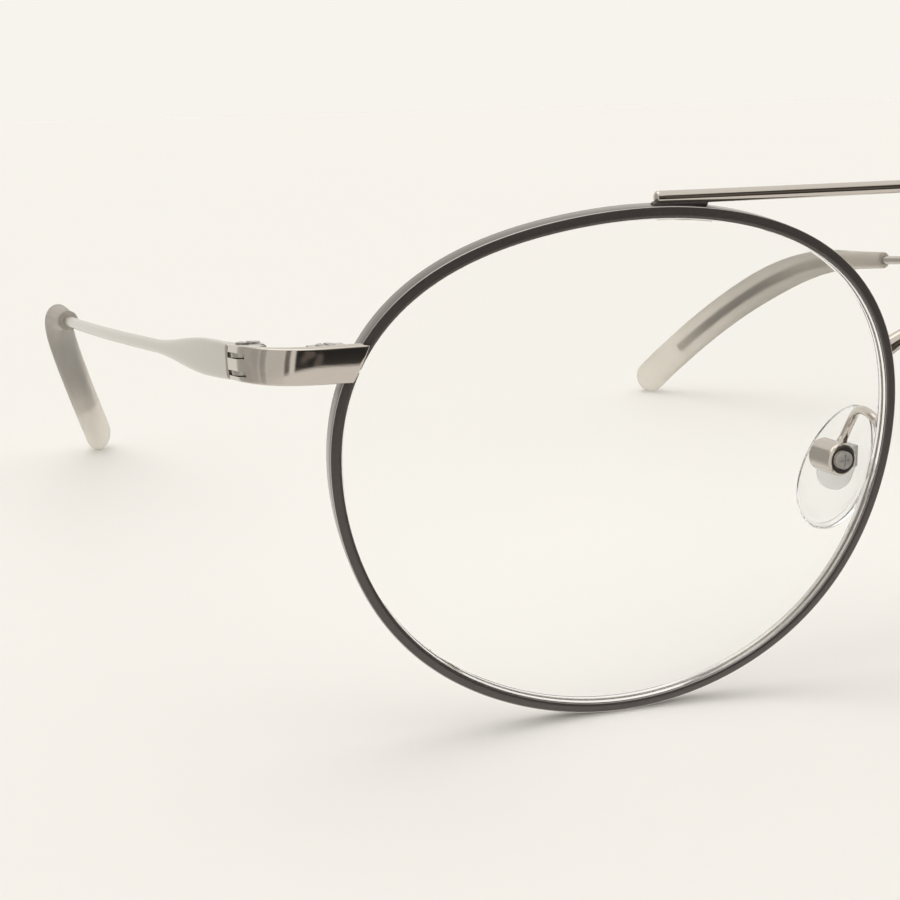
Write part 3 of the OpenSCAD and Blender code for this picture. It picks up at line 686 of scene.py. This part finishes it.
foot_flat = outline_grown(nose_side(BRIDGE_RISE), BRIDGE_D / 4 - BRIDGE_SINK)
bridge_foot = TO_FRONT @ on_lens(foot_flat, BRIDGE_BACK)
bridge_half = -bridge_foot.x
bridge_radius = (bridge_half ** 2 + BRIDGE_ARCH ** 2) / (2 * BRIDGE_ARCH)
bridge_turn = math.asin(bridge_half / bridge_radius)
BRIDGE_PLACE = (Matrix.Translation((0, bridge_foot.y, bridge_foot.z + BRIDGE_ARCH))
                @ Matrix.Rotation(LEAN, 4, "X") @ Matrix.Translation((0, 0, -bridge_radius)))


def bridge_path(turn):
    """The bridge's middle line, an arc that leans with the front."""
    return BRIDGE_PLACE @ Vector((bridge_radius * math.sin(turn), 0,
                                  bridge_radius * math.cos(turn)))


bridge_rings = []
for i in range(BRIDGE_STEPS + 1):
    share = 2 * i / BRIDGE_STEPS - 1
    turn = bridge_turn * share
    gap = (1 - abs(share)) * bridge_turn * bridge_radius
    thick = BRIDGE_D / 2 * (1 + BRIDGE_SWELL * (1 - smooth(gap / SWELL_LEN)))
    bridge_rings.append(wire_ring(bridge_path(turn), direction(bridge_path, turn, 0.01),
                                  Vector((0, -1, 0)), thick, thick, sides=28))
bridge = sweep("nose_bridge_form", bridge_rings, sharp=60)
dress(bridge, "nose_bridge", "front", polished)

# %% [markdown]
# ## End pieces
# The end piece is a flat strip, laid across the front of the rim and bent back round
# the corner to the hinge. A box with a bend would lose the lean of the front and the
# fall of the temple, which meet in it. So its centre line is worked out first, as a run
# along the front, a round bend and a run along the side.

# %% Centre line of the strip
FRONT_HALF = 68.1
STRIP_T = 0.9
STRIP_H = 3.1
BEND_R = 6.3
STRIP_SEAT = 0.2
STRIP_RISE = 10.8
BARREL_H = 2.95
EASE = 3
FALL_ANGLE = math.radians(4.66)
FALL = math.tan(FALL_ANGLE)


def rim_front(turn, grow):
    """A point on the rim's front face."""
    return TO_FRONT @ on_lens(outline_grown(turn, grow), -RIM_D / 2)


seam_front = rim_front(SEAM, 0)
seam_inner = rim_front(SEAM, -RIM_W)
face_y = seam_front.y - (STRIP_T - STRIP_SEAT) / math.cos(WRAP)
bend_cx = -FRONT_HALF + BEND_R
bend_x = bend_cx - BEND_R * math.sin(WRAP)
bend_y = face_y + (seam_front.x - bend_x) * math.tan(WRAP)
bend_cy = bend_y + BEND_R * math.cos(WRAP)
BEND_TURN = math.pi / 2 - WRAP
bend_len = BEND_R * BEND_TURN
front_len = (seam_inner.x - bend_x) / math.cos(WRAP)
side_len = JOINT_Y - bend_cy
strip_len = front_len + bend_len + side_len
hinge_z = LENS_Z + STRIP_RISE - FALL * (side_len + EASE / 2)


def strip_head(s):
    """The strip's heading in radians at a distance s from the rim."""
    return WRAP + BEND_TURN * min(max((s - front_len) / bend_len, 0), 1)


def strip_path(s):
    """The strip's outer face at a distance s from the rim."""
    left = strip_len - s
    past = min(max(left - side_len, 0), EASE)
    z = hinge_z + FALL * (min(left, side_len) + past - past * past / (2 * EASE))
    if s < front_len:
        gap = front_len - s
        return Vector((bend_x + gap * math.cos(WRAP), bend_y - gap * math.sin(WRAP), z))
    if s < front_len + bend_len:
        head = strip_head(s)
        return Vector((bend_cx - BEND_R * math.sin(head),
                       bend_cy - BEND_R * math.cos(head), z))
    return Vector((-FRONT_HALF, bend_cy + s - front_len - bend_len, z))


print("the strip is", round(strip_len, 1), "mm long")

# %% [markdown]
# The strip's outer face has a slight crown and soft edges. A plain box would mirror as
# one flat tone, so we sweep a crowned section along the centre line. It leans with the
# rim at one end and stands upright at the hinge.

# %% Sweep the strip
CROWN = 0.15
EDGE = 0.12
STRIP_ROUND = 0.1
ROUND_STEPS = 4
FACE_STEPS = 12
LEAN_END = 0.8


def face_depth(x, half):
    """How far the strip's outer face lies back, x from its middle: a crown and round edges."""
    over = max(abs(x) - half + EDGE, 0)
    return CROWN * (x / half) ** 2 + EDGE - math.sqrt(EDGE ** 2 - over ** 2)


def strip_ring(s, slant=0.0, inset=0.0):
    """A flat section square to the strip, leaning with the rim and upright at the hinge."""
    head = strip_head(s)
    nudge = 0.01
    slope = (strip_path(s).z - strip_path(s - nudge).z) / nudge
    along = Vector((-math.cos(head), math.sin(head), slope)).normalized()
    up = (UP - along.z * along).normalized()
    inwards = along.cross(up)
    lean = LEAN * (1 - smooth((s - front_len) / (bend_len * LEAN_END)))
    up, inwards = (math.cos(lean) * up - math.sin(lean) * inwards,
                   math.cos(lean) * inwards + math.sin(lean) * up)
    half = (STRIP_H + (BARREL_H - STRIP_H) * s / strip_len) / 2 - inset
    corners = [Vector((half, STRIP_T / 2)), Vector((half, STRIP_T - inset)),
               Vector((-half, STRIP_T - inset)), Vector((-half, STRIP_T / 2))]
    each = ROUND_STEPS + 1
    section = rounded(corners, STRIP_ROUND, ROUND_STEPS)[each:3 * each]
    for k in range(-FACE_STEPS, FACE_STEPS + 1):
        x = half * math.sin(math.pi / 2 * k / FACE_STEPS)
        section.append(Vector((x, inset + face_depth(x, half))))
    return [strip_path(s) + v.x * up + v.y * inwards - slant * v.x * along
            for v in section]


SEAM_REACH = math.radians(3)
STRIP_STEPS = 90
START_ROUND = 0.14
BOTH_ROUNDS = 0.2
SLANT_END = 0.6
seam_top = rim_front(SEAM - SEAM_REACH, -RIM_W)
seam_low = rim_front(SEAM + SEAM_REACH, -RIM_W)
slant = (seam_top.x - seam_low.x) / (seam_top.z - seam_low.z)
strip_rings = [strip_ring(0.02, slant, 0.1), strip_ring(0.06, slant, 0.04),
               strip_ring(START_ROUND, slant * 0.98)]
for i in range(1, STRIP_STEPS + 1):
    s = START_ROUND + (strip_len - BOTH_ROUNDS) * i / STRIP_STEPS
    strip_rings.append(strip_ring(s, slant * (1 - smooth(s / (front_len * SLANT_END)))))
strip_rings.append(strip_ring(strip_len - 0.01, inset=0.05))
strip = sweep("right_end_piece_form", strip_rings, sharp=50)

# %% [markdown]
# Two slots take the tongues of the temple's hinge. Insetting faces would disturb the
# crown, so a Boolean modifier subtracts them. The cutters are boxes in the hinge's own
# leaning frame, and the bore is a plain cylinder, so the screw and the knuckles that
# come from the CAD model show through just as on the real hinge.

# %% Cut the hinge slots
SLOT_H = 0.46
SLOT_LEN = 4
TOP_KNUCKLE = 0.63
BOTTOM_KNUCKLE = 0.4
AXIS_INSET = 1.5
KNUCKLE_R = 1.15
BORE_PLAY = 0.04
BORE_LEN = 9
CUT_OUT = 3
CUT_IN = 1
HINGE = (Matrix.Translation((-FRONT_HALF + AXIS_INSET, JOINT_Y - AXIS_AHEAD,
                             hinge_z + FALL * AXIS_AHEAD))
         @ Matrix.Rotation(-FALL_ANGLE, 4, "X"))


def cut(piece, cutter):
    """Subtracts a cutter from a piece and removes it."""
    bpy.context.view_layer.objects.active = piece
    boolean = piece.modifiers.new("cut", "BOOLEAN")
    boolean.operation = "DIFFERENCE"
    boolean.solver = "EXACT"
    boolean.object = cutter
    bpy.ops.object.modifier_apply(modifier="cut")
    bpy.data.objects.remove(cutter)


def box_cutter(low, high, frame_of):
    """A box between two corners of a leaning frame, in drawing millimetres."""
    bpy.ops.object.select_all(action="DESELECT")
    bpy.ops.mesh.primitive_cube_add(size=1)
    box = bpy.context.active_object
    size = Matrix.Diagonal((*(Vector(high) - Vector(low)), 1))
    box.data.transform(TO_SCENE @ frame_of
                       @ Matrix.Translation((Vector(low) + Vector(high)) / 2) @ size)
    return box


slot_heights = (BARREL_H / 2 - TOP_KNUCKLE - SLOT_H / 2,
                -BARREL_H / 2 + BOTTOM_KNUCKLE + SLOT_H / 2)
for height in slot_heights:
    cut(strip, box_cutter((-CUT_OUT, AXIS_AHEAD - SLOT_LEN, height - SLOT_H / 2),
                          (CUT_IN, AXIS_AHEAD + CUT_IN, height + SLOT_H / 2), HINGE))
bpy.ops.object.select_all(action="DESELECT")
bpy.ops.mesh.primitive_cylinder_add(vertices=64, radius=KNUCKLE_R + BORE_PLAY, depth=BORE_LEN)
bore = bpy.context.active_object
bore.data.transform(TO_SCENE @ HINGE)
cut(strip, bore)
select_only(strip)
bpy.ops.object.shade_smooth_by_angle(angle=math.radians(40))
dress_pair(strip, "end_piece", "front", polished)

# %% [markdown]
# ## Temples
# A temple is drawn from round wire. Its front end is pressed into a flat paddle for the
# hinge, and its back end is bent down behind the ear, where it runs on as the core of
# the moulded tip. One path serves both pieces, so they can't drift apart: a long shallow
# bow, and then a curve with one control point at the knee.

# %% Centre line of the temple
PADDLE_T = 0.95
PADDLE_H = 3.2
PADDLE_LEN = 24
WIRE_D = 1.3
TEMPLE_LEN = 92
TEMPLE_BOW = 4.9
FLARE = math.tan(math.radians(0.54))
JOINT_GAP = 0.06
KNEE = 19
TIP_BACK = 40
TIP_IN = 12.4
TIP_W = 5.6
TIP_T = 3.8
SLEEVE_D = 2.6
SLEEVE_LEAD = 9
PADDLE_FLAT = 0.3
PADDLE_TAPER = 0.75


def temple_path(s):
    """The straight part's middle line at a distance s from the hinge joint."""
    x = -FRONT_HALF + PADDLE_T / 2 - FLARE * s + TEMPLE_BOW * (s / TEMPLE_LEN) ** 2
    return Vector((x, JOINT_Y + s, hinge_z - FALL * s))


ear_start = temple_path(TEMPLE_LEN)
ear_knee = ear_start + KNEE * (ear_start - temple_path(TEMPLE_LEN - 1)).normalized()
tip_end = Vector((ear_start.x + TIP_IN, ear_start.y + TIP_BACK, TIP_W / 2))


def ear_path(t):
    """The bent part's middle line, t from 0 at the bend to 1 at the tip's end."""
    return (1 - t) ** 2 * ear_start + 2 * t * (1 - t) * ear_knee + t * t * tip_end


def paddle_half_h(s):
    """Half the temple's height: full in the paddle, less at the hinge and in the wire."""
    flat = PADDLE_LEN * PADDLE_FLAT
    shape = 1 - smooth((s - flat) / (PADDLE_LEN * PADDLE_TAPER))
    narrow = (PADDLE_H - BARREL_H) / 2 * (1 - min(s / flat, 1)) ** 2
    return WIRE_D / 2 + (PADDLE_H - WIRE_D) / 2 * shape - narrow


print("the bend starts", round(ear_start.z - tip_end.z, 1), "mm above the tip's end")

# %% [markdown]
# The pressed paddle is thinner than the wire, taller, and squarer in section. A box
# joined to a cylinder would show a step, so all three change together along one sweep,
# with more rings where they change fast. The wire goes on inside the tip and stops short
# of its end.

# %% Sweep the temple
PADDLE_SQUARE = 0.36
CORE_STOP = 0.86
HINGE_ROUND = 0.12
TAPER_PAST = 4
WIRE_PAST = 4.2
TEMPLE_NUDGE = 0.5
WIRE_SIDES = 40
EAR_NUDGE = 0.005


def temple_ring(s, inset=0.0):
    """A ring of the temple: pressed flat at the hinge, round behind the paddle."""
    as_drawn = smooth(s / PADDLE_LEN)
    half_t = PADDLE_T / 2 + (WIRE_D - PADDLE_T) / 2 * as_drawn
    roundness = PADDLE_SQUARE + (1 - PADDLE_SQUARE) * as_drawn
    return wire_ring(temple_path(s), direction(temple_path, s, TEMPLE_NUDGE), UP,
                     paddle_half_h(s) - inset, half_t - inset, roundness, WIRE_SIDES)


temple_rings = [temple_ring(JOINT_GAP + ahead, inset)
                for ahead, inset in ((0.01, 0.08), (0.05, 0.03), (HINGE_ROUND, 0.0))]
for i in range(1, 61):
    s = JOINT_GAP + HINGE_ROUND + (PADDLE_LEN + TAPER_PAST) * i / 60
    temple_rings.append(temple_ring(s))
for i in range(1, 31):
    s = PADDLE_LEN + WIRE_PAST + (TEMPLE_LEN - PADDLE_LEN - WIRE_PAST) * i / 30
    temple_rings.append(temple_ring(s))
for i in range(1, 41):
    t = CORE_STOP * i / 40
    temple_rings.append(wire_ring(ear_path(t), direction(ear_path, t, EAR_NUDGE), UP,
                                  WIRE_D / 2, WIRE_D / 2, 1.0, WIRE_SIDES))
temple = sweep("right_temple_form", temple_rings, sharp=60)
dress_pair(temple, "temple", "temple_body", temple_metal)

# %% [markdown]
# ## Temple tips
# The tips are translucent plastic, moulded over the wire: round and thin at the mouth,
# wider and flatter towards the rounded end. The wire inside shows faintly. Scattering
# inside plastic is slow to render, so most of the light passes straight through. The colour
# follows U: painted shade darkens it where the bend starts, and it turns paler towards the end.

# %% Smoky plastic
smoke = Finish("smoke_tip", IOR=1.4, Transmission_Weight=0.72)
place = smoke.place()
haze = smoke.noise(place, 220.0, 3.0)
reach = smoke.axis(smoke.swept(), 0) + (haze - 0.5) * 0.06
# Painted shade over the tip's middle stretch, where the bend starts.
middle = smoke.step(reach, 0.18, 0.34) * (1 - smoke.step(reach, 0.45, 0.75))
pale_end = smoke.step(reach, 0.62, 0.92)
grey = smoke.blend(haze, (0.7, 0.66, 0.6, 1), (0.84, 0.795, 0.73, 1))
grey_and_painted_shade = smoke.blend(middle * 0.55, grey, (0.5, 0.475, 0.435, 1))
smoke.set(Base_Color=smoke.blend(pale_end * 0.75, grey_and_painted_shade, (0.94, 0.91, 0.85, 1)))
smoke.set(Roughness=0.4 + haze * 0.12)
smoke.bump(haze, 0.00002, 0.2)
print("the tips mix", len(smoke.tree.nodes), "nodes")

# %% [markdown]
# A tip starts with a rounded mouth on the straight wire, runs round the bend behind the
# ear and closes in a dome. All of it is one sweep with four stretches of rings, so no
# seam shows in the plastic.

# %% Sweep the tips
MOUTH_ROUND = 0.35
TIP_WIDENS = 1.7
TIP_THICKENS = 2
KNEE_SHARE = 0.6
DOME_TURN = math.radians(88)
TIP_SIDES = 36
ear_len = (ear_knee - ear_start).length * KNEE_SHARE + (tip_end - ear_knee).length
whole = SLEEVE_LEAD + ear_len
mouth = TEMPLE_LEN - SLEEVE_LEAD


def tip_sizes(x):
    """Half the width and half the thickness at a share x of the tip's length."""
    return (SLEEVE_D / 2 + (TIP_W - SLEEVE_D) / 2 * smooth(x * TIP_WIDENS),
            SLEEVE_D / 2 + (TIP_T - SLEEVE_D) / 2 * smooth(x * TIP_THICKENS))


tip_rings = []
for k in range(7):
    angle = math.pi / 2 * k / 6
    s = mouth + MOUTH_ROUND * (1 - math.cos(angle))
    size = WIRE_D / 2 + (SLEEVE_D / 2 - WIRE_D / 2) * math.sin(angle)
    tip_rings.append(wire_ring(temple_path(s), direction(temple_path, s, TEMPLE_NUDGE), UP,
                               size, size, 1.0, TIP_SIDES))
for i in range(1, 13):
    lead = MOUTH_ROUND + (SLEEVE_LEAD - MOUTH_ROUND) * i / 12
    s = mouth + lead
    tip_rings.append(wire_ring(temple_path(s), direction(temple_path, s, TEMPLE_NUDGE), UP,
                               *tip_sizes(lead / whole), 1.0, TIP_SIDES))
for i in range(1, 49):
    t = i / 48
    sizes = tip_sizes((SLEEVE_LEAD + ear_len * t) / whole)
    tip_rings.append(wire_ring(ear_path(t), direction(ear_path, t, EAR_NUDGE), UP,
                               *sizes, 1.0, TIP_SIDES))
end_way = direction(ear_path, 0.999, 0.001)
for k in range(1, 13):
    angle = DOME_TURN * k / 12
    centre = tip_end + TIP_W / 2 * math.sin(angle) * end_way
    tip_rings.append(wire_ring(centre, end_way, UP, TIP_W / 2 * math.cos(angle),
                               TIP_T / 2 * math.cos(angle), 1.0, TIP_SIDES))
tip = sweep("right_temple_tip_form", tip_rings, sharp=60)
dress_pair(tip, "temple_tip", "temple_body", smoke.material)

# %% [markdown]
# ## Pad arms
# A thin wire is soldered behind the rim, loops back and over, and comes down into the
# small drum that holds the pad. Straight runs joined by bends would look like plumbing,
# and the real wire is one flowing loop. So its path is one smooth curve with four
# control points, and solder thickens both ends.

# %% Sweep the pad arms
PIVOT_X = 10.3
PIVOT_Y = 4.9
PIVOT_DROP = 2.9
PIVOT = Vector((-PIVOT_X, PIVOT_Y, LENS_Z - PIVOT_DROP))
BOX_DIA = 3.2
ARM_D = 0.85
ARM_UP = 1
ARM_BACK = 3.9
ARM_RISE = 1.7
ARM_SIDE = 1
ARM_ASIDE = 0.1
ARM_LOOP = 1.8
ARM_FALL = 1.7
ROOT_SINK = 0.15
FOOT_SINK = 0.4
ROOT_SWELL = 0.35
ROOT_SHARE = 0.06
FOOT_SWELL = 0.2
FOOT_FROM = 0.93
FOOT_SHARE = 0.05
root_flat = outline_grown(nose_side(ARM_UP), -RIM_W / 2)
arm_root = TO_FRONT @ on_lens(root_flat, RIM_D / 2 - ROOT_SINK)
arm_foot = PIVOT + Vector((ARM_SIDE, 0, BOX_DIA / 2 - FOOT_SINK))
arm_top = arm_root + Vector((ARM_ASIDE, ARM_BACK, ARM_RISE))
arm_over = Vector((PIVOT.x + ARM_SIDE + ARM_LOOP, PIVOT.y, arm_top.z - ARM_FALL))


def arm_path(t):
    """The pad arm's middle line, t from 0 at the rim to 1 in the drum."""
    return ((1 - t) ** 3 * arm_root + 3 * t * (1 - t) ** 2 * arm_top
            + 3 * t * t * (1 - t) * arm_over + t ** 3 * arm_foot)


arm_rings = []
for i in range(61):
    t = i / 60
    thick = ARM_D / 2 * (1 + ROOT_SWELL * (1 - smooth(t / ROOT_SHARE))
                         + FOOT_SWELL * smooth((t - FOOT_FROM) / FOOT_SHARE))
    arm_rings.append(wire_ring(arm_path(t), direction(arm_path, t, 0.005),
                               Vector((1, 0, 0)), thick, thick, 1.0, 20))
arm = sweep("right_pad_arm_form", arm_rings, sharp=60)
dress_pair(arm, "pad_arm", "front", polished)

# %% [markdown]
# ## Nose pads
# Each pad is a drop of clear silicone moulded round a small plate. Silicone bends light
# only a little more than water, so the pad is nearly invisible except at its edges. A
# squashed ball would come close, but a pad is flat towards its arm and rounded towards
# the nose. So it is swept from the middle of its flat side over the rim to the middle of
# the rounded one, with its depths and widths as shares of its thickness and its size.

# %% Clear silicone and the pads
silicone = Finish("clear_silicone", IOR=1.41, Transmission_Weight=1.0)
cloud = silicone.vary(300.0, 3.0, ((0.93, 0.935, 0.93, 1), (0.98, 0.985, 0.98, 1)), 0.06, 0.06)
silicone.bump(cloud, 0.00003, 0.2)

PAD_H = 12.6
PAD_W = 6.7
PAD_T = 2.1
PAD_REACH = 2.8
PAD_DROP = 0.7
PAD_TURN = math.radians(35)
PAD_SPLAY = math.radians(18)
PAD_ROLL = math.radians(14)
PAD_TAPER = 0.12
PAD_SIDES = 64
PAD_PLACE = (Matrix.Translation(PIVOT) @ Matrix.Rotation(PAD_TURN, 4, "Z")
             @ Matrix.Rotation(PAD_SPLAY, 4, "Y") @ Matrix.Rotation(PAD_ROLL, 4, "X")
             @ Matrix.Translation((PAD_REACH, 0, -PAD_DROP)))
pad_stations = [(-0.36, 0.1 * k) for k in range(1, 8)]
pad_stations += [(-0.36, 0.84), (-0.35, 0.88), (-0.32, 0.925), (-0.27, 0.96),
                 (-0.2, 0.985), (-0.1, 0.998), (0, 1), (0.1, 0.99), (0.2, 0.96),
                 (0.3, 0.905), (0.4, 0.82), (0.48, 0.72), (0.54, 0.6), (0.59, 0.45),
                 (0.62, 0.3), (0.635, 0.18), (0.64, 0.06)]
pad_rings = []
for depth, share in pad_stations:
    ring = []
    for j in range(PAD_SIDES):
        angle = 2 * math.pi * j / PAD_SIDES
        ring.append(PAD_PLACE @ Vector((
            depth * PAD_T,
            share * PAD_W / 2 * math.sin(angle) * (1 - PAD_TAPER * math.cos(angle)),
            share * PAD_H / 2 * math.cos(angle))))
    pad_rings.append(ring)
pad = sweep("right_nose_pad_form", pad_rings, sharp=50)
pad.visible_shadow = False
dress_pair(pad, "nose_pad", "pad_body", silicone.material)

# %% [markdown]
# ## CAD pieces that stay
# The hinge knuckles, locks, screws, pad drums and pad plates are exact solids already,
# and remodelling them would only risk a misfit in the hinges. They need no more than a
# finish, so we put a material in their slots and leave their meshes alone. The pad
# screws look duller than the hinge's, like zinc, and the pad plates are frosted plastic.

# %% Finishes for the CAD nodes
plate = Finish("pad_plate", IOR=1.45, Transmission_Weight=0.8)
frost = plate.vary(900.0, 3.0, ((0.9, 0.9, 0.89, 1), (0.97, 0.97, 0.96, 1)), 0.25, 0.2)
plate.bump(frost, 0.00002, 0.3)

zinc = Finish("pad_screw_zinc", Metallic=0.4)
film = zinc.vary(1500.0, 3.0, ((0.42, 0.41, 0.39, 1), (0.7, 0.685, 0.66, 1)), 0.3, 0.2)
zinc.bump(film, 0.00002, 0.3)

kept = {"upper_lock": satin, "lower_lock": satin, "lock_screw": screw_metal,
        "front_hinge": satin, "temple_hinge": satin, "hinge_screw": screw_metal,
        "pad_box": polished, "pad_screw": zinc.material, "pad_core": plate.material}
for part, finish in kept.items():
    for side in ("right_", "left_"):
        node = frame["nodes"][side + part]
        node.data.materials.clear()
        node.data.materials.append(finish)
print("finished", 2 * len(kept), "CAD nodes")

# %% [markdown]
# ## Studio
# The frame stands on a pale floor in soft light, as for a catalogue. Small lights would
# show as hard white spots in the polished metal, so one very broad sun from above gives
# the faint shadow, and the rest of the light comes from the world. The floor is left out
# of reflections, so that the metal mirrors the world below the horizon too, where some
# of its dark bands come from.

# %% Floor and light
FLOOR_DARK = (0.885, 0.875, 0.855, 1)
FLOOR_LIGHT = (0.895, 0.885, 0.865, 1)
floor_paint = Finish("floor_paint", Roughness=0.6)
place = floor_paint.place()
speck = floor_paint.noise(place, 3.0)
floor_paint.set(Base_Color=floor_paint.blend(speck, FLOOR_DARK, FLOOR_LIGHT))
bpy.ops.object.select_all(action="DESELECT")
bpy.ops.mesh.primitive_plane_add(size=6)
floor = bpy.context.active_object
floor.name = "floor"
floor.data.materials.append(floor_paint.material)
floor.visible_glossy = False

bpy.ops.object.light_add(type="SUN", location=(0, 0.3, 1))
key = bpy.context.active_object
key.name = "key"
key.data.energy = 0.58
key.data.angle = math.radians(60)
key.data.color = (1.0, 0.98, 0.94)
key.rotation_euler = Vector((0.25, -0.2, -1)).to_track_quat("-Z", "Y").to_euler()
print("key light turned", [round(math.degrees(turn)) for turn in key.rotation_euler])

# %% [markdown]
# The world is what the metal mirrors. It is pale all round and bright overhead, like a
# light tent, but the tent is open before the frame, where the room is dim, and one side
# wall is greyer. Black cards could do the same, but from some sides the camera would see
# them. The opening makes the dark bands along the bar and the end piece. Only mirrored
# and bounced light meets it: straight on, or through a lens, the backdrop stays pale.

# %% World
world = bpy.data.worlds.new("studio")
bpy.context.scene.world = world
tent = Graph(world)
towards = tent.add("ShaderNodeTexCoord", {}, {}, "Generated")
east = tent.axis(towards, 0)
height = tent.axis(towards, 2)
around = east.join("ARCTAN2", -1 * east, -1 * tent.axis(towards, 1))


def band(low, high, edge=2.0):
    """1 between two directions in degrees, counted from -Y towards -X."""
    starts = [math.radians(low + k * edge) for k in (-1, 1)]
    ends = [math.radians(high + k * edge) for k in (-1, 1)]
    return tent.step(around, *starts) * (1 - tent.step(around, *ends))


PALE = (0.93, 0.905, 0.847, 1)
DIM = (0.035, 0.034, 0.032, 1)
BROWN = (0.15, 0.13, 0.115, 1)
BRIGHT = (1.0, 0.98, 0.94, 1)
low_sky = 1 - tent.step(height, 0.42, 0.6)
opening = (band(-72, 42) + 0.85 * band(50, 58)) * tent.step(height, -0.52, -0.42)
side_wall = (0.22 * band(59, 88, 4) + 0.55 * band(89, 99, 3)
             + 0.48 * band(100, 157, 6)) * tent.step(height, -0.75, -0.3)
sky = tent.blend(tent.step(height, 0.55, 0.8), PALE, BRIGHT)
things = tent.add("ShaderNodeTexNoise", {}, {"Vector": towards, "Scale": 3.0, "Detail": 1.0})
room = tent.blend(tent.step(things, 0.45, 0.65), DIM, BROWN)
straight = tent.add("ShaderNodeLightPath", {}, {}, "Is Camera Ray")
through = tent.add("ShaderNodeLightPath", {}, {}, "Is Transmission Ray")
backstage = (1 - straight) * (1 - through)
shade = tent.blend((opening + side_wall) * low_sky * backstage, sky, room)
backdrop = tent.tree.nodes["Background"]
tent.feed(backdrop.inputs["Color"], shade)
print("the world has", len(tent.tree.nodes), "nodes")
bpy.context.scene.view_settings.view_transform = "Standard"

# %% [markdown]
# ## Camera
# The camera stands where the photograph was taken: close to the wearer's right front
# corner, a little above the frame. Its place and turn came from a perspective fit, and
# the lens is given for a 36 mm wide sensor.

# %% Camera
CAMERA_AT = Vector((-107.246, -124.2, 56.533))
YAW = math.radians(23.929)
PITCH = math.radians(-12.308)
ROLL = math.radians(-1.15)
FOCAL = 67.59
SENSOR = 36
forward = Vector((math.sin(YAW) * math.cos(PITCH), math.cos(YAW) * math.cos(PITCH),
                  math.sin(PITCH)))
right = Vector((math.cos(YAW), -math.sin(YAW), 0))
above = right.cross(forward)
across = math.cos(ROLL) * right + math.sin(ROLL) * above
upright = math.cos(ROLL) * above - math.sin(ROLL) * right
bpy.ops.object.camera_add()
camera = bpy.context.active_object
turned = Matrix((across, upright, -forward)).transposed().to_4x4()
camera.matrix_world = Matrix.Translation(TO_SCENE @ CAMERA_AT) @ turned
camera.data.lens = FOCAL
camera.data.sensor_width = SENSOR
camera.data.clip_start = 0.01
bpy.context.scene.camera = camera
print("camera at", [round(value, 4) for value in camera.location])
